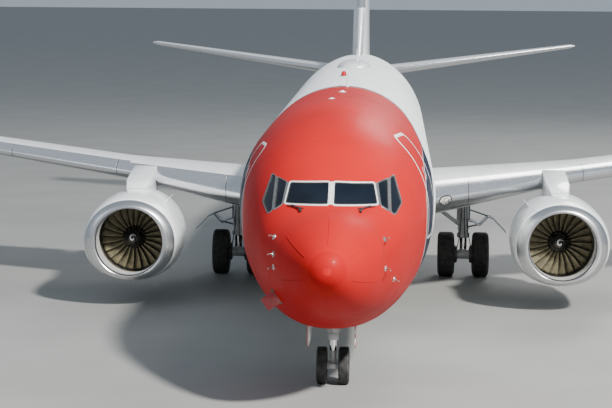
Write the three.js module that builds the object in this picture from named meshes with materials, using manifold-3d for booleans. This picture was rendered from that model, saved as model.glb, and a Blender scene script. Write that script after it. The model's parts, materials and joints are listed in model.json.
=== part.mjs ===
import * as THREE from 'three';
import { mergeVertices } from 'three/addons/utils/BufferGeometryUtils.js';
import Module from 'manifold-3d';

const wasm = await Module();
wasm.setup();

// Narrow body airliner, parked on its gear, in millimetres.
// x points to the aircraft's left, y points aft and z points up from the ground.
// Stations count aft from the tip of the nose, and heights in tables marked level
// are those of the body before it settles nose down on its gear.

// Driving dimensions
const OVERALL_LENGTH = 39470;
const NOSE_DOWN_SLOPE = 0.0128;
const SILL_STATION = 4600;
const BODY_SIDES = 32;
const SEAM = 0.3;
const PANEL_GAP = 6;
const RUNNING_GAP = 0.8;
const HINGE_GAP = 0.8;
const BORE_SIDES = 32;

const finishes = {
  red: { color: 0xc4171c, roughness: 0.25, metalness: 0.0 },
  white: { color: 0xe8eaec, roughness: 0.3, metalness: 0.0 },
  grey: { color: 0xb4bac0, roughness: 0.4, metalness: 0.1 },
  metal: { color: 0xc9ccd0, roughness: 0.25, metalness: 0.9 },
  steel: { color: 0x8c9096, roughness: 0.4, metalness: 0.8 },
  dark: { color: 0x2a2c30, roughness: 0.6, metalness: 0.2 },
  titanium: { color: 0x6d665c, roughness: 0.45, metalness: 0.8 },
  rubber: { color: 0x17181a, roughness: 0.85, metalness: 0.0 },
  glass: { color: 0x1a2228, roughness: 0.05, metalness: 0.0 },
};

const aircraft = new THREE.Group();
aircraft.position.y = -OVERALL_LENGTH / 2;

// Height gained by the settled body at a station
const rise = (station) => NOSE_DOWN_SLOPE * (station - SILL_STATION);

// Adds one named piece to the aircraft
function add(name, geometry, finish, place = [0, 0, 0]) {
  const mesh = new THREE.Mesh(geometry, new THREE.MeshStandardMaterial(finishes[finish]));
  mesh.name = name;
  mesh.position.set(...place);
  aircraft.add(mesh);
}

// Keeps only positions, merges shared corners and drops triangles that have no area
function tidy(geometry) {
  const plain = new THREE.BufferGeometry();
  plain.setAttribute('position', geometry.getAttribute('position').clone());
  if (geometry.index) plain.setIndex(geometry.index.clone());
  const merged = mergeVertices(plain, 1e-3);
  const corners = Array.from(merged.index.array);
  const kept = [];
  for (let at = 0; at < corners.length; at += 3) {
    const [a, b, c] = corners.slice(at, at + 3);
    if (a !== b && b !== c && c !== a) kept.push(a, b, c);
  }
  merged.setIndex(kept);
  return merged;
}

// Volume inside a closed geometry, negative when its faces point inwards
function signedVolume(geometry) {
  const at = geometry.getAttribute('position');
  const corners = geometry.index.array;
  const [a, b, c] = [new THREE.Vector3(), new THREE.Vector3(), new THREE.Vector3()];
  let volume = 0;
  for (let i = 0; i < corners.length; i += 3) {
    a.fromBufferAttribute(at, corners[i]);
    b.fromBufferAttribute(at, corners[i + 1]);
    c.fromBufferAttribute(at, corners[i + 2]);
    volume += a.dot(b.cross(c)) / 6;
  }
  return volume;
}

// Turns a closed geometry into a solid whose faces point out
function solid(geometry) {
  const merged = tidy(geometry);
  const corners = Array.from(merged.index.array);
  if (signedVolume(merged) < 0) corners.reverse();
  return new wasm.Manifold(new wasm.Mesh({
    numProp: 3,
    vertProperties: Float32Array.from(merged.getAttribute('position').array),
    triVerts: Uint32Array.from(corners),
  }));
}

// Turns a solid back into a geometry
function shape(body) {
  const mesh = body.getMesh();
  const geometry = new THREE.BufferGeometry();
  geometry.setAttribute('position', new THREE.BufferAttribute(Float32Array.from(mesh.vertProperties), 3));
  geometry.setIndex(Array.from(mesh.triVerts));
  geometry.computeVertexNormals();
  return geometry;
}

// The same solid on the aircraft's other side
function mirrored(body) {
  return solid(shape(body).applyMatrix4(new THREE.Matrix4().makeScale(-1, 1, 1)));
}

const join = (bodies) => bodies.reduce((sum, body) => sum.add(body));

// Skins a row of rings with equal counts; each end is closed between point j and point count - j
function loft(rings) {
  const count = rings[0].length;
  const points = [];
  const corners = [];
  rings.forEach((ring) => ring.forEach((point) => points.push(...point)));
  for (let row = 0; row + 1 < rings.length; row += 1) {
    for (let j = 0; j < count; j += 1) {
      const a = row * count + j;
      const b = row * count + (j + 1) % count;
      corners.push(a, b, b + count, a, b + count, a + count);
    }
  }
  [[0, false], [(rings.length - 1) * count, true]].forEach(([first, far]) => {
    for (let j = 0; j < count / 2; j += 1) {
      const quad = [j, j + 1, count - j - 1, (count - j) % count].map((k) => first + k);
      const faces = [[quad[0], quad[2], quad[1]], [quad[0], quad[3], quad[2]]];
      faces.forEach((face) => corners.push(...(far ? face.reverse() : face)));
    }
  });
  const geometry = new THREE.BufferGeometry();
  geometry.setAttribute('position', new THREE.Float32BufferAttribute(points, 3));
  geometry.setIndex(corners);
  return solid(geometry);
}

// Block between two opposite corners
function block(low, high) {
  const size = high.map((value, k) => value - low[k]);
  const middle = high.map((value, k) => (value + low[k]) / 2);
  return solid(new THREE.BoxGeometry(...size).translate(...middle));
}

// Round bar from one point to another, which may taper
function rod(from, to, radius, endRadius = radius, sides = 10) {
  const start = new THREE.Vector3(...from);
  const along = new THREE.Vector3(...to).sub(start);
  const length = along.length();
  const bar = new THREE.CylinderGeometry(endRadius, radius, length, sides);
  bar.translate(0, length / 2, 0);
  const turn = new THREE.Quaternion().setFromUnitVectors(new THREE.Vector3(0, 1, 0), along.normalize());
  bar.applyQuaternion(turn);
  return solid(bar.translate(...from));
}

// Turned shape about an axis that points aft; the profile's columns are radius and station
function turned(profile, sides) {
  const line = profile.map(([radius, station]) => new THREE.Vector2(radius, station));
  const lathe = new THREE.LatheGeometry(line, sides);
  return solid(lathe);
}

// Turned shape about an axis that points to the side, with a flat face underneath;
// the profile's columns are radius and side
function turnedAcross(profile, sides) {
  const line = profile.map(([radius, side]) => new THREE.Vector2(radius, side));
  const lathe = new THREE.LatheGeometry(line, sides);
  return solid(lathe.rotateY(Math.PI / sides).rotateZ(-Math.PI / 2));
}

// Plate whose outline is seen from the front, columns x and height, from one station to another
function frontPlate(outline, from, to) {
  const face = new THREE.Shape(outline.map(([x, z]) => new THREE.Vector2(x, z)));
  const plate = new THREE.ExtrudeGeometry(face, { depth: to - from, bevelEnabled: false });
  return solid(plate.rotateX(Math.PI / 2).translate(0, to, 0));
}

// Plate whose outline is seen from the side, columns station and height, from one x to another
function sidePlate(outline, from, to) {
  const face = new THREE.Shape(outline.map(([station, z]) => new THREE.Vector2(station, z)));
  const plate = new THREE.ExtrudeGeometry(face, { depth: to - from, bevelEnabled: false });
  const turn = new THREE.Matrix4().makeBasis(
    new THREE.Vector3(0, 1, 0),
    new THREE.Vector3(0, 0, 1),
    new THREE.Vector3(1, 0, 0),
  );
  return solid(plate.applyMatrix4(turn).translate(from, 0, 0));
}

// Body
// Sections in level attitude: station, crown, keel, half width, height of the widest point
const BODY_SECTIONS = [
  [0, 2620, 2620, 0, 2620],
  [40, 2785, 2455, 170, 2620],
  [150, 2925, 2315, 310, 2618],
  [500, 3130, 2035, 565, 2615],
  [1000, 3345, 1765, 825, 2645],
  [1600, 3520, 1535, 1070, 2735],
  [2000, 3715, 1410, 1215, 2830],
  [2500, 4065, 1280, 1355, 2905],
  [3000, 4365, 1190, 1475, 2970],
  [3600, 4640, 1120, 1595, 3035],
  [4400, 4860, 1070, 1715, 3095],
  [5300, 4990, 1040, 1810, 3140],
  [6300, 5038, 1030, 1870, 3158],
  [6900, 5040, 1030, 1880, 3160],
  [7600, 5040, 1030, 1880, 3160],
  [24200, 5040, 1030, 1880, 3160],
  [25000, 5040, 1032, 1880, 3160],
  [27000, 5038, 1150, 1865, 3170],
  [29000, 5030, 1500, 1780, 3250],
  [31000, 5000, 2000, 1590, 3390],
  [33000, 4930, 2560, 1290, 3580],
  [35000, 4810, 3100, 920, 3810],
  [36500, 4680, 3490, 600, 4000],
  [37500, 4540, 3740, 370, 4120],
  [38020, 4430, 3870, 230, 4150],
];
const LOWER_LOBE_POWER = 0.9;
const bodyShape = new THREE.CubicInterpolant(
  BODY_SECTIONS.map(([station]) => Math.sqrt(station)),
  BODY_SECTIONS.flatMap(([, ...sizes]) => sizes),
  4,
);

// One ring around the body, set in from the skin by a wall's thickness
function bodyRing(station, inset = 0) {
  const [crown, keel, half, waist] = bodyShape.evaluate(Math.sqrt(station));
  const lift = rise(station);
  return Array.from({ length: BODY_SIDES }, (_, step) => {
    const angle = step / BODY_SIDES * 2 * Math.PI;
    const [up, side] = [Math.cos(angle), Math.sin(angle)];
    const upper = up > 0;
    const power = upper ? 1 : LOWER_LOBE_POWER;
    const height = (upper ? crown - waist : waist - keel) - inset;
    return [
      (half - inset) * Math.sign(side) * Math.abs(side) ** power,
      station,
      waist + lift + height * Math.sign(up) * Math.abs(up) ** power,
    ];
  });
}

const bodyPart = (stations, inset = 0) => loft(stations.map((station) => bodyRing(station, inset)));

// Half width of the body below its widest point, at a station and a height
function lowerHalfWidth(station, height) {
  const [, keel, half, waist] = bodyShape.evaluate(Math.sqrt(station));
  const down = ((waist + rise(station) - height) / (waist - keel)) ** (1 / LOWER_LOBE_POWER);
  return half * Math.sqrt(1 - down ** 2) ** LOWER_LOBE_POWER;
}

// Block in level attitude whose top and bottom follow the settled body
function levelBlock([x0, s0, z0], [x1, s1, z1]) {
  const ring = (station) => [[x0, z0], [x1, z0], [x1, z1], [x0, z1]]
    .map(([x, z]) => [x, station, z + rise(station)]);
  return loft([ring(s0), ring(s1)]);
}

// Where the body's sections meet
const RADOME_END = 1180;
const NOSE_END = 5840;
const MID_END = 23900;
const BODY_END = 38020;

const radomeStations = [0, 40, 140, 320, 600, 900, RADOME_END - SEAM];
const noseStations = [RADOME_END, 1600, 2000, 2500, 3000, 3600, 4400, 5300, NOSE_END - SEAM];
const midStations = [NOSE_END, 6300, 6900, MID_END - SEAM];
const aftStations = [MID_END, 25000, 27000, 29000, 31000, 33000, 35000, 36500, 37500, BODY_END];

// Flight deck: hollow from behind the radome's bulkhead to the cabin bulkhead
const DECK_WALL = 90;
const DECK_FRONT = 1300;
const DECK_BACK = 4050;
const DECK_FLOOR = 2500;
const GLASS_THICK = 28;
const BAND_MARGIN = 70;

// Window panes as seen from the front: x and height of each corner, left side
const WINDOW_PANES = [
  [[45, 3505], [795, 3485], [725, 3815], [45, 3840]],
  [[850, 3460], [985, 3370], [960, 3870], [785, 3815]],
  [[1025, 3345], [1100, 3295], [1210, 3465], [1070, 3910], [1000, 3885]],
];
const PANE_FROM = 1400;
const PANE_TO = 3500;

const deckStations = [DECK_FRONT, 1600, 2000, 2500, 3000, 3600, DECK_BACK];
const deckHollow = bodyPart(deckStations, DECK_WALL)
  .subtract(levelBlock([-2000, 0, 0], [2000, 6000, DECK_FLOOR]));
const panes = join(WINDOW_PANES.map((outline) => frontPlate(outline, PANE_FROM, PANE_TO)));
const allPanes = panes.add(mirrored(panes));

const paneHeights = WINDOW_PANES.flat().map(([, height]) => height);
const bandLow = Math.min(...paneHeights) - BAND_MARGIN;
const bandHigh = Math.max(...paneHeights) + BAND_MARGIN;
const behindGlass = [DECK_FRONT - 50, 1600, 2000, 2500, 3000, 3600, DECK_BACK + 50];
const glassBand = bodyPart(deckStations, DECK_WALL + SEAM)
  .subtract(bodyPart(behindGlass, DECK_WALL + SEAM + GLASS_THICK))
  .intersect(block([-1300, 1560, bandLow], [1300, 3120, bandHigh]));

// Doors in the skin: a pocket in the body and a plug that fills it, both of one wall's depth
const DOOR_DEPTH = 150;
// name, side, first station, last station, sill, head in level attitude
const CABIN_DOORS = [
  ['passenger_door_forward', 1, 4420, 5280, 2650, 4480],
  ['service_door_forward', -1, 4450, 5210, 2650, 4300],
  ['passenger_door_aft', 1, 31800, 32560, 2650, 4480],
  ['service_door_aft', -1, 31800, 32560, 2650, 4300],
];

// Cuts a skin panel between two stations and two heights out of a stretch of the body
function skinPanel(side, s0, s1, z0, z1, gap, depth, backGap, topGap = gap) {
  const reach = [side * 2500, side * 300].sort((a, b) => a - b);
  const stations = [s0 - 200, (s0 + s1) / 2, s1 + 200];
  const opening = levelBlock([reach[0], s0, z0], [reach[1], s1, z1]).subtract(bodyPart(stations, depth));
  const panel = levelBlock([reach[0], s0 + gap, z0 + gap], [reach[1], s1 - gap, z1 - topGap])
    .intersect(bodyPart(stations))
    .subtract(bodyPart(stations, depth - backGap));
  return { opening, panel };
}

const cabinDoors = CABIN_DOORS.map(([name, side, s0, s1, z0, z1]) => (
  { name, s0, ...skinPanel(side, s0, s1, z0, z1, SEAM, DOOR_DEPTH, SEAM) }
));

// Emergency exits over the wing, hinged along their upper edge
const EXIT_POCKET = 135;
const EXIT_BACK_GAP = 45;
const EXIT_WIDTH = 510;
const EXIT_SILL = 3120;
const EXIT_HEAD = 4090;
const EXIT_STATIONS = [16650, 17640];
const exitRoom = [PANEL_GAP, EXIT_POCKET, EXIT_BACK_GAP, HINGE_GAP];
const exits = EXIT_STATIONS.flatMap((station, row) => [1, -1].map((side) => ({
  name: `overwing_exit_${row ? 'rear' : 'front'}_${side > 0 ? 'left' : 'right'}`,
  ...skinPanel(side, station, station + EXIT_WIDTH, EXIT_SILL, EXIT_HEAD, ...exitRoom),
})));

// Cargo doors on the right side, hinged along their upper edge and swinging into the hold
const CARGO_DEPTH = 110;
const CARGO_GAP = 8;
const CARGO_SILL = 1330;
const CARGO_HEAD = 2230;
const HOLD_INNER = -330;
const HOLD_SPARE = 90;
const HOLD_CEILING = CARGO_HEAD + 220;
// name, first station, last station
const CARGO_DOORS = [
  ['cargo_door_forward', 7600, 8820],
  ['cargo_door_aft', 25100, 26320],
];
const cargoDoors = CARGO_DOORS.map(([name, s0, s1]) => {
  const { panel } = skinPanel(-1, s0, s1, CARGO_SILL, CARGO_HEAD, CARGO_GAP, CARGO_DEPTH, 0, HINGE_GAP);
  const frame = levelBlock([-2500, s0, CARGO_SILL], [HOLD_INNER, s1, CARGO_HEAD]);
  const inside = bodyPart([s0 - 300, (s0 + s1) / 2, s1 + 300], CARGO_DEPTH);
  const hold = levelBlock(
    [-1880, s0 - HOLD_SPARE, CARGO_SILL - HOLD_SPARE],
    [HOLD_INNER, s1 + HOLD_SPARE, HOLD_CEILING],
  ).intersect(inside);
  return { name, s0, panel, hole: frame.add(hold) };
});

// Nose gear bay
const NOSE_GEAR_STATION = 4000;
const BAY_HALF = 380;
const BAY_FRONT = 2700;
const BAY_BACK = 4620;
const BAY_CEILING = 1950;
const noseBay = levelBlock([-BAY_HALF, BAY_FRONT, 0], [BAY_HALF, BAY_BACK, BAY_CEILING]);

// Ground power receptacle: a shallow pocket low on the right of the nose, its door open
const POWER_STATION = 1700;
const POWER_WIDTH = 290;
const POWER_LOW = 1850;
const POWER_HIGH = 2050;
const POWER_DEPTH = 100;
const POWER_SPARE = 30;
const POWER_DOOR_THICK = 14;
const POWER_DOOR_OPEN = 72;
const powerSkin = (station, level) => {
  const z = level + rise(station);
  return new THREE.Vector3(-lowerHalfWidth(station, z), station, z);
};
const powerTop = powerSkin(POWER_STATION, POWER_HIGH);
const powerDown = powerSkin(POWER_STATION, POWER_LOW).sub(powerTop);
const powerHeight = powerDown.length();
powerDown.normalize();
const powerMiddle = (POWER_LOW + POWER_HIGH) / 2;
const powerIn = powerSkin(POWER_STATION + POWER_WIDTH, powerMiddle)
  .sub(powerSkin(POWER_STATION, powerMiddle))
  .cross(powerDown)
  .negate()
  .normalize();
const powerPlace = new THREE.Matrix4()
  .makeBasis(powerDown, powerIn.clone().cross(powerDown), powerIn)
  .setPosition(powerTop);
const powerPocket = solid(shape(block(
  [-POWER_SPARE, 0, -POWER_DEPTH],
  [powerHeight + POWER_SPARE, POWER_WIDTH, POWER_DEPTH],
)).applyMatrix4(powerPlace));
const powerDoorSize = [powerHeight, POWER_WIDTH - 2 * PANEL_GAP, POWER_DOOR_THICK];
const powerDoor = solid(shape(block([0, 1, 0], powerDoorSize))
  .rotateX(-POWER_DOOR_OPEN * Math.PI / 180)
  .applyMatrix4(powerPlace));

// Lifting surfaces
// Chord fractions from the trailing edge over the top to the leading edge
const CHORD_STEPS = [1, 0.82, 0.6, 0.4, 0.24, 0.11, 0.035, 0.008];
const EDGE_HALF = 5;

// Half thickness of a foil of unit chord
function halfThickness(fraction, thickness) {
  const root = 0.2969 * Math.sqrt(fraction);
  const rest = -0.126 * fraction - 0.3516 * fraction ** 2 + 0.2843 * fraction ** 3 - 0.1036 * fraction ** 4;
  return 5 * thickness * (root + rest);
}

// A point of a section: fraction of the chord aft, and millimetres above the mean line
function foilPoint({ x, lead, z, chord, twist = 0, cant = 0, camber = 0 }, fraction, above) {
  const lean = cant * Math.PI / 180;
  const lift = above + camber * 4 * fraction * (1 - fraction) * chord;
  const drop = fraction * chord * Math.sin(twist * Math.PI / 180);
  return [
    x - (lift - drop) * Math.sin(lean),
    lead + fraction * chord,
    z + (lift - drop) * Math.cos(lean),
  ];
}

// Section ring, grown on all sides where a neighbour must clear it
function foilRing(section, grow = 0) {
  const half = (fraction) => (
    halfThickness(fraction, section.thick) * section.chord + EDGE_HALF * fraction + grow
  );
  const over = CHORD_STEPS.map((fraction) => foilPoint(section, fraction, half(fraction)));
  const under = CHORD_STEPS.map((fraction) => foilPoint(section, fraction, -half(fraction))).reverse();
  const nose = foilPoint(section, 0, 0);
  const tail = foilPoint(section, 1, 0);
  nose[1] -= grow;
  [tail, over[0], under.at(-1)].forEach((point) => { point[1] += grow; });
  return [tail, ...over, nose, ...under];
}

const foil = (sections, grow = 0) => loft(sections.map((section) => foilRing(section, grow)));

// Wing planform
const SIDE_OF_BODY = 1880;
const WING_ROOT = 1300;
const GLOVE_END = 4900;
const KINK = 5500;
const WING_TIP = 17160;
const WING_HEIGHT = 2260;
const DIHEDRAL = 0.105;

const wingLead = (x) => (x < GLOVE_END ? 13800 + (x - SIDE_OF_BODY) * 0.811 : 13700 + 0.52 * x);
const wingTrail = (x) => (x < KINK ? 21200 - (x - SIDE_OF_BODY) * 0.1215 : 20760 + (x - KINK) * 0.283);
const between = (x, x0, x1, a, b) => a + (b - a) * Math.min(1, Math.max(0, (x - x0) / (x1 - x0)));

function wingSection(x) {
  return {
    x,
    lead: wingLead(x),
    z: WING_HEIGHT + DIHEDRAL * x,
    chord: wingTrail(x) - wingLead(x),
    thick: x < KINK
      ? between(x, SIDE_OF_BODY, KINK, 0.14, 0.122)
      : between(x, KINK, WING_TIP, 0.122, 0.105),
    twist: between(x, SIDE_OF_BODY, WING_TIP, 1.6, -0.6),
    camber: 0.012,
    cant: 0,
  };
}

// Blended winglet: outward, up and aft of the wing tip, chord, cant in degrees
const WINGLET = [
  [210, 45, 150, 1330, 18],
  [430, 190, 350, 1180, 42],
  [585, 480, 640, 1010, 64],
  [665, 1050, 1130, 820, 79],
  [735, 2350, 2330, 470, 83],
];
const tipSection = wingSection(WING_TIP);
const wingletSections = WINGLET.map(([out, up, aft, chord, cant]) => ({
  ...tipSection,
  x: WING_TIP + out,
  z: tipSection.z + up,
  lead: tipSection.lead + aft,
  chord,
  cant,
  twist: 0,
  thick: 0.09,
  camber: 0,
}));
const wingSections = [WING_ROOT, SIDE_OF_BODY, 3400, GLOVE_END, KINK, 11000, WING_TIP].map(wingSection);
const wingWhole = foil([...wingSections, ...wingletSections]);
const wingRootClear = foil([WING_ROOT - 1, SIDE_OF_BODY, 3400].map(wingSection), SEAM);

// Block behind a line that runs from one section to another at a fraction of their chords
function behind(near, far, nearAt, farAt, height = 900, length = 9000) {
  const corner = (section, at) => {
    const low = foilPoint(section, at, -height);
    const high = foilPoint(section, at, height);
    return [low, high, [high[0], high[1] + length, high[2]], [low[0], low[1] + length, low[2]]];
  };
  return loft([corner(near, nearAt), corner(far, farAt)]);
}

// Cuts a hinged surface from its parent, with a round nose about its hinge line,
// whose ends leave room because its hinge line is swept
const HINGE_END_GAP = 24;
const RUDDER_END_GAP = 34;
const NOSE_SIDES = 14;
const PIN_RADIUS = 8;
const PIN_REACH = 90;
const PIN_SIDES = 8;
function hingedSurface(parent, sectionAt, from, to, hingeAt, endGap, noseGap = 9) {
  const ends = [sectionAt(from), sectionAt(to)];
  const inner = [sectionAt(from + endGap), sectionAt(to - endGap)];
  const centre = (section) => foilPoint(section, hingeAt, 0);
  const half = (section) => halfThickness(hingeAt, section.thick) * section.chord + EDGE_HALF * hingeAt;
  const [noseIn, noseOut] = inner.map((section) => 0.97 * half(section));
  const roundUp = 1 / Math.cos(Math.PI / NOSE_SIDES);
  const [coveIn, coveOut] = ends.map((section) => (half(section) + noseGap) * roundUp);
  const nose = rod(centre(inner[0]), centre(inner[1]), noseIn, noseOut, NOSE_SIDES);
  const cove = rod(centre(ends[0]), centre(ends[1]), coveIn, coveOut, NOSE_SIDES);
  const hinge = ends.map(centre);
  const [first, last] = hinge.map((point) => new THREE.Vector3(...point));
  const reach = last.clone().sub(first);
  const pins = (radius, spare) => join([first, last].map((point) => {
    const step = reach.clone().setLength(PIN_REACH + spare);
    const tips = [point.clone().sub(step), point.clone().add(step)];
    return rod(...tips.map((tip) => tip.toArray()), radius, radius, PIN_SIDES);
  }));
  const bores = pins(PIN_RADIUS / Math.cos(Math.PI / PIN_SIDES) + SEAM, SEAM);
  const surface = parent.intersect(behind(inner[0], inner[1], hingeAt, hingeAt)).add(nose).subtract(bores);
  const rest = parent.subtract(behind(ends[0], ends[1], hingeAt, hingeAt)).subtract(cove);
  return { surface, rest: rest.add(pins(PIN_RADIUS, 0)), hinge };
}

// Flaps: front edge as a distance ahead of the trailing edge at each end
const FLAP_SEAT = 0.8;
const FLAP_END_GAP = 8;
const FLAP_ARM = 420;
// name, inner x, outer x, chord at the inner end, chord at the outer end
const FLAPS = [
  ['flap_inboard', 2060, 5430, 1240, 1080],
  ['flap_outboard', 5590, 11150, 1080, 820],
];
const AILERON = [11330, 15600];
const AILERON_HINGE = 0.72;

let wing = wingWhole;
const aileron = hingedSurface(wing, wingSection, AILERON[0], AILERON[1], AILERON_HINGE, HINGE_END_GAP);
wing = aileron.rest;

const flaps = FLAPS.map(([name, inner, outer, innerChord, outerChord]) => {
  const [near, far] = [wingSection(inner), wingSection(outer)];
  const frontAt = (section, size) => 1 - size / section.chord;
  const [nearAt, farAt] = [frontAt(near, innerChord), frontAt(far, outerChord)];
  const gapAt = (section, at) => at + FLAP_SEAT / section.chord;
  const span = block([inner + FLAP_END_GAP, 0, 0], [outer - FLAP_END_GAP, OVERALL_LENGTH, OVERALL_LENGTH]);
  const surface = wing.intersect(behind(near, far, gapAt(near, nearAt), gapAt(far, farAt))).intersect(span);
  wing = wing.subtract(behind(near, far, nearAt, farAt));
  return {
    name,
    surface,
    hinge: [foilPoint(near, nearAt, -FLAP_ARM), foilPoint(far, farAt, -FLAP_ARM)],
  };
});

// Room between the two flaps, which swing towards each other as they run out
const flapJoint = [FLAPS[0][2] - 1, FLAPS[1][1] + 1].map(wingSection);
wing = wing.subtract(behind(...flapJoint, ...flapJoint.map((section) => 1 - FLAPS[1][3] / section.chord)));

// Flight spoilers: one row let into the upper skin ahead of the outboard flap
const SPOILER_SPAN = [5900, 10700];
const SPOILER_CHORD = 640;
const SPOILER_BEHIND = 40;
const SPOILER_THICK = 52;
const SPOILER_END_GAP = 22;
const SPOILER_GAP = 13;
const SPOILER_SEAT = 0.8;

function spoilerCorner(x, frontGap, backGap, floorDrop) {
  const section = wingSection(x);
  const flapChord = between(x, FLAPS[1][1], FLAPS[1][2], FLAPS[1][3], FLAPS[1][4]);
  const back = 1 - (flapChord + SPOILER_BEHIND + backGap) / section.chord;
  const front = 1 - (flapChord + SPOILER_BEHIND + SPOILER_CHORD - frontGap) / section.chord;
  const skin = (at) => halfThickness(at, section.thick) * section.chord + EDGE_HALF * at;
  return [
    foilPoint(section, front, skin(front) - floorDrop),
    foilPoint(section, front, skin(front) + 300),
    foilPoint(section, back, skin(back) + 300),
    foilPoint(section, back, skin(back) - floorDrop),
  ];
}
const spoilerPocket = loft(SPOILER_SPAN.map((x) => spoilerCorner(x, 0, 0, SPOILER_THICK + 7)));
const spoiler = wing.intersect(loft([
  spoilerCorner(SPOILER_SPAN[0] + SPOILER_END_GAP, SPOILER_SEAT, SPOILER_GAP, SPOILER_THICK),
  spoilerCorner(SPOILER_SPAN[1] - SPOILER_END_GAP, SPOILER_SEAT, SPOILER_GAP, SPOILER_THICK),
]));
const spoilerHinge = SPOILER_SPAN.map((x) => spoilerCorner(x, SPOILER_SEAT, SPOILER_GAP, 0)[0]);
wing = wing.subtract(spoilerPocket);

// Flap track fairings: x, length, depth below the skin; the rear part rides on the flap
const CANOES = [
  [4560, 2500, 300, 0],
  [6500, 2450, 290, 1],
  [8900, 2200, 260, 1],
];
const CANOE_WIDTH = 125;
const CANOE_OVERHANG = 380;

function canoe(x, length, depth) {
  const section = wingSection(x);
  const end = wingTrail(x) + CANOE_OVERHANG;
  // fraction of the length, half width, depth
  const rows = [
    [0, 0.1, 0.05], [0.12, 0.6, 0.5], [0.35, 1, 0.95],
    [0.6, 1, 1], [0.82, 0.7, 0.62], [1, 0.12, 0.1],
  ];
  return loft(rows.map(([along, wide, deep]) => {
    const station = end - length * (1 - along);
    const at = Math.min(0.98, (station - section.lead) / section.chord);
    const top = foilPoint(section, at, -0.3 * halfThickness(at, section.thick) * section.chord)[2];
    return Array.from({ length: 8 }, (_, step) => {
      const angle = step / 8 * 2 * Math.PI;
      const droop = along > 0.8 ? 40 : 0;
      return [
        x + CANOE_WIDTH * wide * Math.sin(angle),
        station,
        top - droop - depth * deep * (1 - Math.cos(angle)) / 1.6,
      ];
    });
  }));
}

CANOES.forEach(([x, length, depth, flapRow]) => {
  const [, inner, outer, innerChord, outerChord] = FLAPS[flapRow];
  const body = canoe(x, length, depth);
  const [near, far] = [wingSection(inner), wingSection(outer)];
  const nearAt = 1 - innerChord / near.chord;
  const farAt = 1 - outerChord / far.chord;
  const [nearSeat, farSeat] = [FLAP_SEAT / near.chord, FLAP_SEAT / far.chord];
  const rear = body.intersect(behind(near, far, nearAt + nearSeat, farAt + farSeat));
  wing = wing.add(body.subtract(behind(near, far, nearAt, farAt)));
  flaps[flapRow].surface = flaps[flapRow].surface.add(rear);
});

// Tail
const STAB_HEIGHT = 4620;
const STAB_DIHEDRAL = 0.1228;
const STAB_TIP = 7175;
const STAB_ROOT = 300;
const stabLead = (x) => 34050 + 0.578 * x;
const stabTrail = (x) => 37600 + (OVERALL_LENGTH - 37600) * x / STAB_TIP;
const stabSection = (x) => ({
  x,
  lead: stabLead(x),
  z: STAB_HEIGHT + STAB_DIHEDRAL * x,
  chord: stabTrail(x) - stabLead(x),
  thick: 0.1,
});
const stabStations = [STAB_ROOT, 2000, STAB_TIP - 150, STAB_TIP];
const stabSections = stabStations.map((x) => ({ ...stabSection(x), thick: x === STAB_TIP ? 0.04 : 0.1 }));
const stabWhole = foil(stabSections);
const ELEVATOR = [1080, 6900];
const elevator = hingedSurface(stabWhole, stabSection, ELEVATOR[0], ELEVATOR[1], 0.7, HINGE_END_GAP);
const stabCentre = levelBlock([-STAB_ROOT - 50, 34700, 4080], [STAB_ROOT + 50, 36600, 4260]);
const stabiliser = join([elevator.rest, mirrored(elevator.rest), stabCentre]);
const stabClear = foil(stabSections.slice(0, 2), SEAM);
const stabSlot = join([
  stabClear,
  mirrored(stabClear),
  levelBlock([-STAB_ROOT - 60, 34700 - SEAM, 4080 - SEAM], [STAB_ROOT + 60, 36600 + SEAM, 4260 + SEAM]),
]);

const FIN_ROOT = 5080;
const FIN_TIP = 12500;
const finSection = (z) => ({
  x: 0,
  z,
  lead: between(z, FIN_ROOT, FIN_TIP, 31560, 36950),
  chord: between(z, FIN_ROOT, FIN_TIP, 6000, 2150),
  thick: 0.095,
  cant: 90,
});
const finSections = [FIN_ROOT, 8000, FIN_TIP - 160, FIN_TIP]
  .map((z) => ({ ...finSection(z), thick: z === FIN_TIP ? 0.04 : 0.095 }));
const dorsal = foil([
  { x: 0, z: FIN_ROOT, lead: 28500, chord: 6000, thick: 0.035, cant: 90 },
  { x: 0, z: 6750, lead: 32750, chord: 2500, thick: 0.1, cant: 90 },
]);
const RUDDER = [5700, 12260];
const finWhole = foil(finSections).add(dorsal);
const rudder = hingedSurface(finWhole, finSection, RUDDER[0], RUDDER[1], 0.69, RUDDER_END_GAP);
const bodyTop = bodyPart([26000, 29000, 31000, 33000, 35000, 36500, 37500, BODY_END], -SEAM);
const fin = rudder.rest.subtract(bodyTop);

// Fuselage solids
const noseCut = [deckHollow, allPanes, noseBay, powerPocket]
  .concat(cabinDoors.slice(0, 2).map(({ opening }) => opening));
const fuselageNose = bodyPart(noseStations).subtract(join(noseCut));

const FAIRING_TOP = 2000;
const FAIRING_FRONT = 12300;
const FAIRING_BACK = 21900;
const fairingRoom = levelBlock([-3000, FAIRING_FRONT, 0], [3000, FAIRING_BACK, FAIRING_TOP]);
const wingsClear = wingRootClear.add(mirrored(wingRootClear));
const midCut = [fairingRoom, wingsClear, cargoDoors[0].hole].concat(exits.map(({ opening }) => opening));
const fuselageMid = bodyPart(midStations).subtract(join(midCut));

const aftCut = [stabSlot, cargoDoors[1].hole].concat(cabinDoors.slice(2).map(({ opening }) => opening));
const exhaust = rod([0, 37300, 4560], [0, BODY_END + 200, 4570], 150, 170, 20);
const fuselageAft = bodyPart(aftStations).subtract(join(aftCut)).subtract(exhaust);

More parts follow.
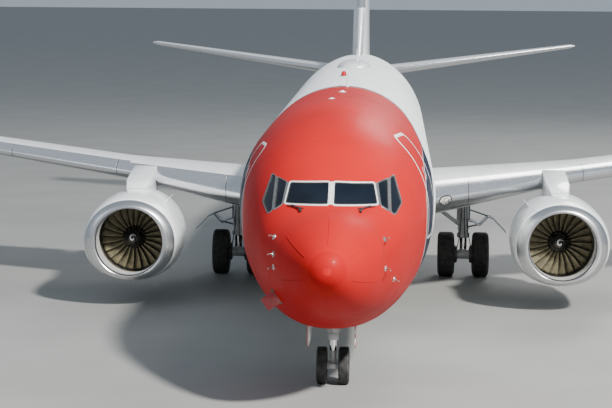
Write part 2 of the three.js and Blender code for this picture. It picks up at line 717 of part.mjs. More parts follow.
// Belly fairing: station, half width at its top, depth to the bottom in level attitude
const FAIRING_ROWS = [
  [FAIRING_FRONT + SEAM, 1570, 1035],
  [13100, 1760, 985],
  [14000, 1930, 940],
  [16500, 1990, 915],
  [19800, 1990, 915],
  [20900, 1850, 965],
  [FAIRING_BACK - SEAM, 1570, 1035],
];
const FAIRING_SIDES = 24;
const FAIRING_POWER = 0.72;
const fairing = loft(FAIRING_ROWS.map(([station, half, keel]) => {
  const top = FAIRING_TOP - SEAM;
  const lower = Array.from({ length: FAIRING_SIDES }, (_, step) => {
    const angle = Math.PI * step / (FAIRING_SIDES - 1);
    return [
      half * Math.sign(Math.cos(angle)) * Math.abs(Math.cos(angle)) ** FAIRING_POWER,
      station,
      top + rise(station) - (top - keel) * Math.sin(angle) ** FAIRING_POWER,
    ];
  });
  return lower;
}));

// Main gear places
const MAIN_STATION = 19600;
const MAIN_SIDE = 2860;
const MAIN_TYRE_RADIUS = 565;
const MAIN_TYRE_WIDTH = 420;
const MAIN_SPACING = 870;
const WELL_SIDE = 1020;
const WELL_RADIUS = 630;
const WELL_CEILING = 1880;
const wellTop = [WELL_SIDE, MAIN_STATION, WELL_CEILING];
const well = rod([WELL_SIDE, MAIN_STATION, 0], wellTop, WELL_RADIUS, WELL_RADIUS, 24)
  .add(block([WELL_SIDE, MAIN_STATION - 260, 0], [3000, MAIN_STATION + 260, WELL_CEILING]));
const bellyFairing = fairing.subtract(join([well, mirrored(well), wingsClear]));

// Main leg bay in the underside of the wing
const LEG_BAY = [2350, 3120];
const LEG_CEILING = 2330;
const legBay = block([LEG_BAY[0], MAIN_STATION - 330, 0], [LEG_BAY[1], MAIN_STATION + 180, LEG_CEILING]);
wing = wing.subtract(legBay);

// Engines
const ENGINE_SIDE = 4860;
const ENGINE_HEIGHT = 1520;
const ENGINE_SIDES = 24;
const CORE_SIDES = 20;
const LIP_FRONT = 13000;
const LIP_END = 13330;
const FAN_STATION = 14060;
const FAN_RADIUS = 770;
const FAN_NOZZLE = 16300;
const NACELLE_FLAT = 0.93;

// Outer rings of the nacelle: station, half width, height above and below the engine's axis
const NACELLE_ROWS = [
  [LIP_FRONT, 800, 765, 765],
  [LIP_FRONT + 25, 885, 835, 815],
  [LIP_FRONT + 110, 985, 905, 865],
  [LIP_END, 1065, 975, 910],
  [13800, 1105, 1030, 960],
  [14500, 1110, 1050, 1000],
  [15300, 1070, 1030, 1010],
  [FAN_NOZZLE, 930, 925, 910],
];
// Inner wall of the inlet and of the fan duct: radius, station
const DUCT = [
  [0, LIP_FRONT - 40],
  [805, LIP_FRONT - 40],
  [795, LIP_FRONT],
  [755, LIP_FRONT + 60],
  [735, LIP_FRONT + 200],
  [735, LIP_END],
  [785, FAN_STATION - 160],
  [785, FAN_STATION + 260],
  [870, 14900],
  [895, 15600],
  [885, FAN_NOZZLE + 10],
  [0, FAN_NOZZLE + 10],
];

function nacelleRing([station, half, above, below]) {
  return Array.from({ length: ENGINE_SIDES }, (_, step) => {
    const angle = step / ENGINE_SIDES * 2 * Math.PI;
    const [up, side] = [Math.cos(angle), Math.sin(angle)];
    const power = up < 0 ? NACELLE_FLAT : 1;
    return [
      half * Math.sign(side) * Math.abs(side) ** power,
      station,
      (up > 0 ? above : below) * Math.sign(up) * Math.abs(up) ** power,
    ];
  });
}

const duct = turned(DUCT, ENGINE_SIDES);
const lipRows = NACELLE_ROWS.slice(0, 4);
lipRows[3] = [LIP_END - SEAM, ...lipRows[3].slice(1)];
const inletLip = loft(lipRows.map(nacelleRing)).subtract(duct);

// Core: gas generator, turbine casing, nozzle and plug
const CORE = [
  [0, 14420],
  [430, 14420],
  [520, 14700],
  [590, 15400],
  [570, 16200],
  [430, 17250],
  [400, 17250],
  [380, 16900],
  [300, 16900],
  [290, 17150],
  [60, 17720],
  [0, 17740],
];
const SHAFT_RADIUS = 110;
const SHAFT_END = 14620;
const shaftBore = turned(
  [[0, 14300], [SHAFT_RADIUS, 14300], [SHAFT_RADIUS, SHAFT_END], [0, SHAFT_END]],
  BORE_SIDES,
);
const GUIDE_VANES = 8;
const vanes = Array.from({ length: GUIDE_VANES }, (_, k) => {
  const vane = new THREE.BoxGeometry(26, 170, 400).translate(0, 14560, 640);
  return solid(vane.rotateY((k + 0.5) / GUIDE_VANES * 2 * Math.PI));
});
const ductWallGap = turned(
  [[0, 14200], [785 - SEAM, 14200], [785 - SEAM, FAN_STATION + 260], [870 - SEAM, 14900], [0, 14900]],
  ENGINE_SIDES,
);
const core = join([turned(CORE, CORE_SIDES), join(vanes).intersect(ductWallGap)]).subtract(shaftBore);

// Pylon: carries the engine below and ahead of the wing
const PYLON_HALF = 270;
const PYLON_OUTLINE = [
  [13900, 2500], [14500, 2730], [15500, 2880], [16350, 2980], [18900, 2900], [19250, 2620], [17500, 2330],
  [17000, 2010], [15000, 1950], [14650, 2100], [14650, 2520],
];
const pylonPlate = sidePlate(PYLON_OUTLINE, -PYLON_HALF, PYLON_HALF);
// Half width of the pylon's knife edges at the front and the back: station, half width
const PYLON_PLAN = [[13900, 90], [14150, 190], [14800, PYLON_HALF], [16300, PYLON_HALF], [18200, 110], [19260, 20]];
const pylonPlan = loft(PYLON_PLAN.map(([station, half]) => (
  [[-half, 1000], [half, 1000], [half, 3500], [-half, 3500]].map(([x, z]) => [x, station, z])
)));
const pylonLocal = pylonPlate.intersect(pylonPlan);

// Moves a solid that is built about the engine's axis to its place on the left side
const atEngine = (body) => solid(shape(body).translate(ENGINE_SIDE, 0, ENGINE_HEIGHT));
const atPylon = (body) => solid(shape(body).translate(ENGINE_SIDE, 0, 0));
const coreClear = turned(CORE.map(([radius, station]) => [radius && radius + SEAM, station]), CORE_SIDES);
const wingOverEngine = foil([3400, GLOVE_END, KINK, 11000].map(wingSection), SEAM);
const pylon = atPylon(pylonLocal).subtract(join([wingOverEngine, atEngine(coreClear)]));

// The same shape with a seam's room all round
const ROOM_SHIFTS = [[SEAM, 0, 0], [-SEAM, 0, 0], [0, SEAM, 0], [0, -SEAM, 0], [0, 0, SEAM], [0, 0, -SEAM]];
const room = (body) => join(ROOM_SHIFTS.map((shift) => solid(shape(body).translate(...shift))));
const pylonRoom = atPylon(room(pylonLocal));
const nacelleRows = NACELLE_ROWS.slice(3);
const STRAKE_TURN = -0.72;
const strake = solid(
  shape(sidePlate([[13900, 1000], [14500, 1200], [15050, 1215], [15050, 1000]], -8, 8))
    .rotateY(STRAKE_TURN),
);
const nacelle = atEngine(loft(nacelleRows.map(nacelleRing)).add(strake).subtract(duct)).subtract(pylonRoom);

// Fan: blades on a hub behind a pointed spinner, with a shaft into the core
const FAN_BLADES = 24;
const HUB = [
  [0, FAN_STATION - 300],
  [70, FAN_STATION - 262],
  [170, FAN_STATION - 150],
  [250, FAN_STATION - 10],
  [270, FAN_STATION + 60],
  [270, FAN_STATION + 190],
  [SHAFT_RADIUS - RUNNING_GAP, FAN_STATION + 190],
  [SHAFT_RADIUS - RUNNING_GAP, SHAFT_END - 10],
  [0, SHAFT_END - 10],
];
// Blade sections: radius, half chord, half thickness, stagger in radians
const BLADE_ROWS = [[240, 85, 13, 0.45], [500, 118, 8, 0.85], [FAN_RADIUS - 12, 132, 4, 1.12]];
const blade = loft(BLADE_ROWS.map(([radius, half, thick, stagger]) => {
  const [aft, across] = [Math.cos(stagger), Math.sin(stagger)];
  return [[-1, 0], [0, 1], [1, 0], [0, -1]].map(([along, beside]) => [
    half * along * across + thick * beside * aft,
    half * along * aft * 0.9 - thick * beside * across,
    radius,
  ]);
}));
const blades = Array.from({ length: FAN_BLADES }, (_, k) => (
  solid(shape(blade).rotateY(k / FAN_BLADES * 2 * Math.PI).translate(0, FAN_STATION + 90, 0))
));
const fan = turned(HUB, CORE_SIDES).add(join(blades));

// Wheels and tyres
// Tyre profile from bead to bead: fraction of the half width, radius between rim and tread
const TYRE_PROFILE = [[0.62, 0], [0.96, 0.25], [0.98, 0.7], [0.68, 1]];
const TYRE_SIDES = 18;
const TREAD_GROWTH = 1 / Math.cos(Math.PI / TYRE_SIDES);

function tyre(radius, rim, width) {
  const half = width / 2;
  const depth = radius * TREAD_GROWTH - rim;
  const side = TYRE_PROFILE.map(([wide, high]) => [rim + high * depth, wide * half]);
  const other = side.map(([r, x]) => [r, -x]).reverse();
  const ring = [...side, ...other];
  return turnedAcross([...ring, ring[0]], TYRE_SIDES);
}

// Two rims on one turning axle; columns of the half profile are radius and side
function wheelPair(rim, width, spacing, axle, axleEnd) {
  const near = spacing / 2 - width * 0.31;
  const far = spacing / 2 + width * 0.31;
  const half = [
    [0, 0], [axle, 0], [axle, near + 20], [rim, near], [rim, far], [rim * 0.88, far],
    [rim * 0.82, far - 80], [rim * 0.42, far - 95], [rim * 0.34, far + axleEnd], [0, far + axleEnd],
  ];
  const side = turnedAcross(half, TYRE_SIDES);
  return side.add(mirrored(side));
}

const NOSE_TYRE_RADIUS = 343;
const NOSE_TYRE_WIDTH = 196;
const NOSE_SPACING = 400;
const NOSE_RIM = 205;
const MAIN_RIM = 285;
const NOSE_AXLE = 45;
const TOW_HALF = 55;
const TOW_REACH = 130;
const MAIN_AXLE = 74;

// Bore for an axle that runs across
function bore(radius, half, place) {
  const pin = turnedAcross([[0, -half], [radius, -half], [radius, half], [0, half]], BORE_SIDES);
  return solid(shape(pin).translate(...place));
}

// Nose gear: fixed cylinder and brace, steered piston with its torque links
const STEER_RADIUS = 60;
const STEER_BORE = STEER_RADIUS + RUNNING_GAP;
const STEER_SIDES = 32;
const steerTop = [0, NOSE_GEAR_STATION, 1290];
const steerBore = rod([0, NOSE_GEAR_STATION, 500], steerTop, STEER_BORE, STEER_BORE, STEER_SIDES);
const noseLeg = join([
  rod([0, NOSE_GEAR_STATION, 960], [0, NOSE_GEAR_STATION, 1800], 92),
  rod([0, NOSE_GEAR_STATION, 960], [0, NOSE_GEAR_STATION, 1060], 120),
  rod([-BAY_HALF + SEAM, NOSE_GEAR_STATION, 1760], [BAY_HALF - SEAM, NOSE_GEAR_STATION, 1760], 62),
  rod([-95, NOSE_GEAR_STATION, 1170], [-110, 3080, 1820], 32, 32, 8),
  rod([95, NOSE_GEAR_STATION, 1170], [110, 3080, 1820], 32, 32, 8),
  rod([-150, NOSE_GEAR_STATION, 1170], [150, NOSE_GEAR_STATION, 1170], 38),
  rod([-BAY_HALF + SEAM, 3080, 1820], [BAY_HALF - SEAM, 3080, 1820], 40),
  block([-190, NOSE_GEAR_STATION - 150, 1110], [190, NOSE_GEAR_STATION - 60, 1240]),
]).subtract(steerBore);
const noseHub = (x) => [x, NOSE_GEAR_STATION, NOSE_TYRE_RADIUS];
const noseFork = join([
  rod(noseHub(0), [0, NOSE_GEAR_STATION, 1270], STEER_RADIUS, STEER_RADIUS, STEER_SIDES),
  rod(noseHub(-105), noseHub(105), 72),
  rod([0, NOSE_GEAR_STATION, 420], [0, NOSE_GEAR_STATION + 210, 660], 30, 30, 8),
  rod([0, NOSE_GEAR_STATION + 210, 660], [0, NOSE_GEAR_STATION, 905], 30, 30, 8),
  rod([0, NOSE_GEAR_STATION, 820], [0, NOSE_GEAR_STATION, 945], 105),
  block([-TOW_HALF, NOSE_GEAR_STATION - TOW_REACH, 300], [TOW_HALF, NOSE_GEAR_STATION - 40, 390]),
]).subtract(bore(NOSE_AXLE + RUNNING_GAP, 200, [0, NOSE_GEAR_STATION, NOSE_TYRE_RADIUS]));

// Nose gear doors hang open on both sides of the bay
const NOSE_DOOR_LOW = 830;
const NOSE_DOOR_SIDE = 405;
const noseDoor = sidePlate(
  [[2780, 1450], [4560, 1300], [4560, 860], [4420, NOSE_DOOR_LOW], [2980, NOSE_DOOR_LOW], [2780, 900]],
  NOSE_DOOR_SIDE,
  NOSE_DOOR_SIDE + 24,
).subtract(bodyPart([2500, 3000, 3600, 4400, 5300], -SEAM));

// Main gear leg, built on the left side: cylinder, piston, axle housing, braces, torque links and its door
const TRUNNION = 2210;
const mainHub = (x) => [x, MAIN_STATION, MAIN_TYRE_RADIUS];
const trunnionAt = (aft) => [MAIN_SIDE, MAIN_STATION + aft, TRUNNION];
const mainLeg = join([
  rod([MAIN_SIDE, MAIN_STATION, 1000], [MAIN_SIDE, MAIN_STATION, LEG_CEILING - 40], 135),
  block([MAIN_SIDE - 170, MAIN_STATION + 20, 1430], [MAIN_SIDE + 170, MAIN_STATION + 110, 2150]),
  rod([MAIN_SIDE, MAIN_STATION, 1000], [MAIN_SIDE, MAIN_STATION, 1110], 150),
  rod([MAIN_SIDE, MAIN_STATION, MAIN_TYRE_RADIUS], [MAIN_SIDE, MAIN_STATION, 1050], 88),
  rod(mainHub(MAIN_SIDE - 150), mainHub(MAIN_SIDE + 150), 125),
  rod(trunnionAt(-330 + SEAM), trunnionAt(180 - SEAM), 85),
  rod([MAIN_SIDE, MAIN_STATION, 1250], [1985, MAIN_STATION - 60, 1900], 52, 52, 8),
  rod([MAIN_SIDE, MAIN_STATION, 1500], [MAIN_SIDE - 60, MAIN_STATION - 300, 2180], 42, 42, 8),
  rod([MAIN_SIDE, MAIN_STATION, 660], [MAIN_SIDE, MAIN_STATION + 320, 860], 36, 36, 8),
  rod([MAIN_SIDE, MAIN_STATION + 320, 860], [MAIN_SIDE, MAIN_STATION, 1080], 36, 36, 8),
]).subtract(bore(MAIN_AXLE + RUNNING_GAP, 400, [MAIN_SIDE, MAIN_STATION, MAIN_TYRE_RADIUS]));

// Strut door: a curved panel on two links, outboard of the leg; x, height of its middle line
const STRUT_DOOR_LINE = [
  [2990, 1450], [3110, 1425], [3260, 1330], [3360, 1430],
  [3480, 1555], [3600, 1510], [3750, 1350], [3930, 1165],
];
const STRUT_DOOR_THICK = 22;
const strutDoorOutline = [
  ...STRUT_DOOR_LINE,
  ...STRUT_DOOR_LINE.map(([x, z]) => [x, z - STRUT_DOOR_THICK]).reverse(),
];
const strutDoor = join([
  frontPlate(strutDoorOutline, MAIN_STATION - 310, MAIN_STATION + 330),
  rod([MAIN_SIDE, MAIN_STATION - 60, 1240], [3300, MAIN_STATION - 60, 1345], 22, 22, 6),
  rod([MAIN_SIDE, MAIN_STATION + 60, 1750], [3480, MAIN_STATION + 60, 1540], 20, 20, 6),
]);
const mainGear = mainLeg.add(strutDoor);

// Flight deck furniture: floor, instrument panel with its glare shield, two seats, rear bulkhead
const seat = join([
  block([250, 2650, 2530], [760, 3150, 2900]),
  block([280, 3060, 2880], [730, 3200, 3560]),
]);
const deckFloor = levelBlock([-1300, 1700, DECK_FLOOR + SEAM], [1300, DECK_BACK - 1, DECK_FLOOR + 70]);
const PANEL_OUTLINE = [[1800, 2500], [2330, 2500], [2230, 3200], [2330, 3290], [2050, 3330], [1800, 3100]];
const insideDeck = [DECK_FRONT + 20, 1600, 2000, 2500, 3000, 3600, DECK_BACK - 1];
const flightDeck = join([
  deckFloor,
  seat,
  mirrored(seat),
  block([-160, 1900, 2500], [160, 2700, 2980]),
  sidePlate(PANEL_OUTLINE, -900, 900),
]).intersect(bodyPart(insideDeck, DECK_WALL + GLASS_THICK + 30));

// Airframe
add('radome', shape(bodyPart(radomeStations)), 'red');
add('fuselage_nose', shape(fuselageNose), 'red');
add('fuselage_mid', shape(fuselageMid), 'white');
add('fuselage_aft', shape(fuselageAft), 'white');
add('belly_fairing', shape(bellyFairing), 'grey');
add('flight_deck_glazing', shape(glassBand), 'glass');
add('flight_deck', shape(flightDeck), 'dark');
cabinDoors.forEach(({ name, panel, s0 }) => add(name, shape(panel), s0 < NOSE_END ? 'red' : 'white'));
exits.forEach(({ name, panel }) => add(name, shape(panel), 'white'));
cargoDoors.forEach(({ name, panel }) => add(name, shape(panel), 'white'));

add('external_power_door', shape(powerDoor), 'red');
add('fin', shape(fin), 'white');
add('rudder', shape(rudder.surface), 'white');
add('horizontal_stabiliser', shape(stabiliser), 'grey');

// Pieces that both sides have, built on the left
const SIDED = [
  ['wing', wing, 'grey'],
  ['spoilers', spoiler, 'grey'],
  ['aileron', aileron.surface, 'grey'],
  ['elevator', elevator.surface, 'grey'],
  ...flaps.map(({ name, surface }) => [name, surface, 'grey']),
  ['pylon', pylon, 'white'],
  ['nacelle', nacelle, 'white'],
  ['inlet_lip', atEngine(inletLip), 'metal'],
  ['engine_core', atEngine(core), 'titanium'],
  ['main_leg', mainGear, 'white'],
  ['nose_gear_door', noseDoor, 'white'],
];
SIDED.forEach(([name, body, finish]) => {
  add(`${name}_left`, shape(body), finish);
  add(`${name}_right`, shape(mirrored(body)), finish);
});

add('nose_leg', shape(noseLeg), 'steel');
add('nose_fork', shape(noseFork), 'steel');

// Turning pieces
const fanShape = shape(fan);
const mainWheels = shape(wheelPair(MAIN_RIM, MAIN_TYRE_WIDTH, MAIN_SPACING, MAIN_AXLE, 40));
const noseWheels = shape(wheelPair(NOSE_RIM, NOSE_TYRE_WIDTH, NOSE_SPACING, NOSE_AXLE, 20));
const mainTyre = shape(tyre(MAIN_TYRE_RADIUS, MAIN_RIM + SEAM, MAIN_TYRE_WIDTH));
const noseTyre = shape(tyre(NOSE_TYRE_RADIUS, NOSE_RIM + SEAM, NOSE_TYRE_WIDTH));

[['left', 1], ['right', -1]].forEach(([sideName, side]) => {
  add(`fan_${sideName}`, fanShape, 'dark', [side * ENGINE_SIDE, 0, ENGINE_HEIGHT]);
  const hub = [side * MAIN_SIDE, MAIN_STATION, MAIN_TYRE_RADIUS];
  add(`main_wheels_${sideName}`, mainWheels, 'steel', hub);
  [['inner', -1], ['outer', 1]].forEach(([row, step]) => {
    const x = hub[0] + side * step * MAIN_SPACING / 2;
    add(`main_tyre_${sideName}_${row}`, mainTyre, 'rubber', [x, hub[1], hub[2]]);
  });
  add(`nose_tyre_${sideName}`, noseTyre, 'rubber', noseHub(side * NOSE_SPACING / 2));
});
add('nose_wheels', noseWheels, 'steel', [0, NOSE_GEAR_STATION, NOSE_TYRE_RADIUS]);

// Hinge lines of the moving pieces, left side, in the group's own coordinates
aircraft.userData.hinges = {
  aileron: aileron.hinge,
  elevator: elevator.hinge,
  rudder: rudder.hinge,
  spoilers: spoilerHinge,
  ...Object.fromEntries(flaps.map(({ name, hinge }) => [name, hinge])),
  power: [powerTop.toArray(), powerTop.clone().addScaledVector(powerDown, powerHeight).toArray()],
};

export default aircraft;
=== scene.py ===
import json
import math

import bmesh
import bpy
import numpy as np
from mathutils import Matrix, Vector

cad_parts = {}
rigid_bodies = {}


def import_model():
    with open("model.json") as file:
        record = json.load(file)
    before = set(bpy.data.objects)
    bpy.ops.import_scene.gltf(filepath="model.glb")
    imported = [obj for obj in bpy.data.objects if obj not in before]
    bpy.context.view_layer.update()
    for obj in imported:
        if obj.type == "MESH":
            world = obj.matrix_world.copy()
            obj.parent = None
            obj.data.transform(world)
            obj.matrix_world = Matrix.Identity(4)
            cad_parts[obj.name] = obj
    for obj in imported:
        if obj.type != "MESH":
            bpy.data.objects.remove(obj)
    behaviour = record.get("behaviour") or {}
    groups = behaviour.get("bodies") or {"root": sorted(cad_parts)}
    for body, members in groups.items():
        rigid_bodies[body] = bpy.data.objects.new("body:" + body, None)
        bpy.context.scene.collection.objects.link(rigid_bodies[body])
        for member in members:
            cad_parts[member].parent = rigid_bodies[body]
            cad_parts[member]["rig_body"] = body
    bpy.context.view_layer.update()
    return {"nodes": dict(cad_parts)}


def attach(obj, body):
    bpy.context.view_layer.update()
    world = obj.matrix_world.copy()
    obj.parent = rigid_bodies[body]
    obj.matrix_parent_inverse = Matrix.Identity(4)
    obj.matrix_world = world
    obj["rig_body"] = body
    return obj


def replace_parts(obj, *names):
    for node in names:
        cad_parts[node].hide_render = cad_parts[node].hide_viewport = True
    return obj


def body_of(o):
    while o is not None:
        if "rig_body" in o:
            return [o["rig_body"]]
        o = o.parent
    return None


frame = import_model()


# Camera, in front of the nose, a little to its left and above it, with a long lens.
# Its place and turn were solved from the airliner's known sizes.
EYE = (1.03194, -53.875, 6.92063)
YAW, PITCH, ROLL = -0.0405, -0.09498, 0.00777
LENS, SENSOR = 124.79, 36.0
ahead = Vector((math.sin(YAW) * math.cos(PITCH), math.cos(YAW) * math.cos(PITCH), math.sin(PITCH)))
aside = Vector((math.cos(YAW), -math.sin(YAW), 0.0))
above = aside.cross(ahead)
camera = bpy.data.objects.new("camera", bpy.data.cameras.new("camera"))
camera.data.lens = LENS
camera.data.sensor_width = SENSOR
camera.data.clip_end = 4000.0
turned_aside = aside * math.cos(ROLL) + above * math.sin(ROLL)
turned_above = above * math.cos(ROLL) - aside * math.sin(ROLL)
turn = camera.matrix_world.to_3x3()
turn.col[0], turn.col[1], turn.col[2] = turned_aside, turned_above, -ahead
camera.matrix_world = turn.to_4x4()
camera.location = EYE
bpy.context.collection.objects.link(camera)
bpy.context.scene.camera = camera


# Floor, a plain pale sheet. Its material is the first, so the small shader language that all
# materials share is set out here: a value in a material can be added, scaled and compared.
class Value:
    """One value in a material, so that a pattern is written as a sum."""

    def __init__(self, finish, socket):
        self.finish = finish
        self.socket = socket

    def math(self, operation, *others):
        values = dict(enumerate((self, *others)))
        return self.finish.add("Math", {"operation": operation}, values)

    def __rsub__(self, other):
        return self * -1 + other

    def near(self, place, reach):
        """1 within reach of a place."""
        return abs(self - place) < reach

    def every(self, step, reach):
        """1 within reach of lines at equal steps, where reach is a share of a step."""
        return (self / step).math("FRACT").near(0.5, reach)

    def fade(self, start, end):
        """0 before start and 1 after end, smoothly between them."""
        values = {"Value": self, "From Min": start, "From Max": end}
        return self.finish.add("MapRange", {"interpolation_type": "SMOOTHSTEP"}, values)

    def along(self, points):
        """The height of a smooth curve through points, all of them between 0 and 1."""
        return self.finish.add("FloatCurve", {"points": points}, {"Value": self})

    def mix(self, first, second):
        """The first colour where this is 0, the second where it is 1."""
        values = {"Factor": self, 6: first, 7: second}
        return self.finish.add("Mix", {"data_type": "RGBA"}, values, output=2)

    def bump(self, distance, strength=1.0, normal=None):
        values = {"Height": self, "Distance": distance, "Strength": strength}
        return self.finish.add("Bump", values=values | ({"Normal": normal} if normal else {}))


for method, operation in {
        "__add__": "ADD", "__radd__": "ADD", "__sub__": "SUBTRACT", "__mul__": "MULTIPLY",
        "__rmul__": "MULTIPLY", "__truediv__": "DIVIDE", "__lt__": "LESS_THAN",
        "__gt__": "GREATER_THAN", "__abs__": "ABSOLUTE", "at_least": "MAXIMUM",
        "at_most": "MINIMUM"}.items():
    setattr(Value, method, lambda self, *others, of=operation: self.math(of, *others))


class Finish:
    """One material: a principled shader and the nodes that feed it."""

    def __init__(self, name, roughness=0.5, metallic=0.0, coat=0.0):
        self.material = bpy.data.materials.new(name)
        self.material.use_nodes = True
        self.tree = self.material.node_tree
        self.shader = self.tree.nodes["Principled BSDF"]
        self.set(Roughness=roughness, Metallic=metallic, **{"Coat Weight": coat})
        self.place = self.add("TexCoord", output="Object")
        self.x, self.y, self.z = self.split(self.place)

    def add(self, kind, settings=None, values=None, output=0):
        """Adds a node: its settings first, then the values or links of its sockets."""
        node = self.tree.nodes.new("ShaderNode" + kind)
        for key, value in (settings or {}).items():
            if key == "points":
                curve = node.mapping.curves[0]
                for at, height in value[2:]:
                    curve.points.new(at, height)
                for point, place in zip(curve.points, sorted(value)):
                    point.location = place
                node.mapping.update()
            elif key == "stops":
                ramp = node.color_ramp
                while len(ramp.elements) < len(value):
                    ramp.elements.new(1.0)
                for element, (at, colour) in zip(ramp.elements, value):
                    element.position = at
                    element.color = (*colour, 1.0)
            else:
                setattr(node, key, value)
        for key, value in (values or {}).items():
            self.put(node.inputs[key], value)
        return Value(self, node.outputs[output])

    def put(self, socket, value):
        if isinstance(value, Value):
            self.tree.links.new(value.socket, socket)
        elif socket.type == "RGBA":
            socket.default_value = (*value, 1.0)
        else:
            socket.default_value = value

    def set(self, **values):
        for key, value in values.items():
            self.put(self.shader.inputs[key], value)
        return self

    def split(self, vector):
        node = self.add("SeparateXYZ", values={0: vector}).socket.node
        return [Value(self, output) for output in node.outputs]

    def join(self, x, y, z):
        return self.add("CombineXYZ", values={0: x, 1: y, 2: z})

    def noise(self, scale, detail=4.0, place=None):
        values = {"Vector": place or self.place, "Scale": scale, "Detail": detail}
        return self.add("TexNoise", values=values)

    def streaks(self, detail, x, y, z):
        """Noise drawn out along the axes that have the smaller factors."""
        return self.noise(1.0, detail, self.join(self.x * x, self.y * y, self.z * z))

    def paint(self, colour, roughness=None, normal=None, metallic=None):
        """Sets what varies over the surface."""
        values = {"Base Color": colour, "Roughness": roughness, "Normal": normal,
                  "Metallic": metallic}
        return self.set(**{key: value for key, value in values.items() if value is not None})


def mottled(name, roughness, noise, fade, first, second, relief=None, sheen=None, grain=None,
            **more):
    """A finish of two colours mottled by noise. relief is a bump's distance and strength, of the
    same noise or of a finer grain; sheen is how far the roughness varies, and its least value."""
    made = Finish(name, roughness, **more)
    spots = made.noise(*noise).fade(*fade)
    height = made.noise(*grain) if grain else spots
    return made.paint(spots.mix(first, second), sheen and spots * sheen[0] + sheen[1],
                      relief and height.bump(*relief))


def shape(name, verts, faces, finish, body=None, smooth=True):
    """An object of one mesh, which rides on a body."""
    mesh = bpy.data.meshes.new(name)
    mesh.from_pydata([tuple(v) for v in verts], [], [tuple(f) for f in faces])
    mesh.validate()
    thing = bpy.data.objects.new(name, mesh)
    bpy.context.collection.objects.link(thing)
    mesh.materials.append(finish.material)
    mesh.shade_smooth() if smooth else mesh.shade_flat()
    if body:
        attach(thing, body)
    return thing


FLOOR = 2000.0
pale = mottled("floor_pale", 0.62, (0.35, 3.0), (0.3, 0.7), (0.255, 0.255, 0.245),
               (0.28, 0.28, 0.27))
corners = [(-FLOOR, -FLOOR, 0), (FLOOR, -FLOOR, 0), (FLOOR, FLOOR, 0), (-FLOOR, FLOOR, 0)]
shape("floor", corners, [(0, 1, 2, 3)], pale)


# Studio light: a pale surround, one broad key from the picture's right where the photo's sun
# stands, a weaker fill from its left and a rim light behind the tail.
def lamp(name, place, aim, size, power, tint):
    light = bpy.data.lights.new(name, "AREA")
    light.shape = "DISK"
    light.size = size
    light.energy = power
    light.color = tint
    thing = bpy.data.objects.new(name, light)
    thing.location = place
    thing.rotation_euler = (Vector(aim) - Vector(place)).to_track_quat("-Z", "Y").to_euler()
    bpy.context.collection.objects.link(thing)


lamp("key", (42, -70, 60), (0, -8, 2), 7, 240000, (1.0, 0.98, 0.94))
lamp("fill", (-60, -50, 40), (0, -8, 2), 50, 9000, (0.86, 0.93, 1.0))
lamp("rim", (20, 52, 40), (0, 4, 3), 22, 14000, (1.0, 0.97, 0.93))
surround = bpy.data.worlds.new("surround")
bpy.context.scene.world = surround
surround.use_nodes = True
backdrop = surround.node_tree.nodes["Background"]
backdrop.inputs["Color"].default_value = (0.70, 0.82, 0.95, 1.0)
backdrop.inputs["Strength"].default_value = 0.50


# Fuselage: aluminium skins riveted to frames and stringers, with a glass-fibre radome on the
# nose and doors that close flush. Each skin of the CAD model is copied, cut fine by planes and
# laid on the true curve, then painted in gloss: red nose, dark blue band (widened lower down as a
# painted reflection of dark ground), white behind it.
MIDDLE = 19.735
RISE, RISE_START = 0.0128, 4.6
NOSE_HEIGHT, RADOME_END, NOSE_JOINT, TAIL_JOINT, TAIL_END = 2.62, 1.25, 5.84, 23.9, 38.02
EXITS_MIDDLE = 17.4
FUSELAGE_ROWS = np.array([
    (0.00, 2.620, 2.620, 0.002, 2.620), (0.04, 2.785, 2.455, 0.170, 2.620),
    (0.15, 2.925, 2.315, 0.310, 2.618), (0.50, 3.130, 2.035, 0.565, 2.615),
    (1.00, 3.345, 1.765, 0.825, 2.645), (1.60, 3.520, 1.535, 1.070, 2.735),
    (2.00, 3.715, 1.410, 1.215, 2.830), (2.50, 4.065, 1.280, 1.355, 2.905),
    (3.00, 4.365, 1.190, 1.475, 2.970), (3.60, 4.640, 1.120, 1.595, 3.035),
    (4.40, 4.860, 1.070, 1.715, 3.095), (5.30, 4.990, 1.040, 1.810, 3.140),
    (6.30, 5.038, 1.030, 1.870, 3.158), (6.90, 5.040, 1.030, 1.880, 3.160),
    (7.60, 5.040, 1.030, 1.880, 3.160), (24.20, 5.040, 1.030, 1.880, 3.160),
    (25.00, 5.040, 1.032, 1.880, 3.160), (27.00, 5.038, 1.150, 1.865, 3.170),
    (29.00, 5.030, 1.500, 1.780, 3.250), (31.00, 5.000, 2.000, 1.590, 3.390),
    (33.00, 4.930, 2.560, 1.290, 3.580), (35.00, 4.810, 3.100, 0.920, 3.810),
    (36.50, 4.680, 3.490, 0.600, 4.000), (37.50, 4.540, 3.740, 0.370, 4.120),
    (38.02, 4.430, 3.870, 0.230, 4.150),
])


def curve_through(rows, at, root=False):
    """Values between rows, on a smooth curve through them, where the first column is the place."""
    knots = np.sqrt(rows[:, 0]) if root else rows[:, 0]
    at = np.clip(at, rows[0, 0], rows[-1, 0])
    at = np.sqrt(at) if root else at
    slopes = np.diff(rows[:, 1:], axis=0) / np.diff(knots)[:, None]
    tangents = np.vstack([slopes[:1], (slopes[:-1] + slopes[1:]) / 2, slopes[-1:]])
    row = np.clip(np.searchsorted(knots, at) - 1, 0, len(knots) - 2)
    span = (knots[row + 1] - knots[row])[:, None]
    t = (at - knots[row])[:, None] / span
    first, last = rows[row, 1:], rows[row + 1, 1:]
    start = (2 * t**3 - 3 * t**2 + 1) * first + (t**3 - 2 * t**2 + t) * span * tangents[row]
    return start + (3 * t**2 - 2 * t**3) * last + (t**3 - t**2) * span * tangents[row + 1]


def lift_at(station):
    return RISE * (station - RISE_START)


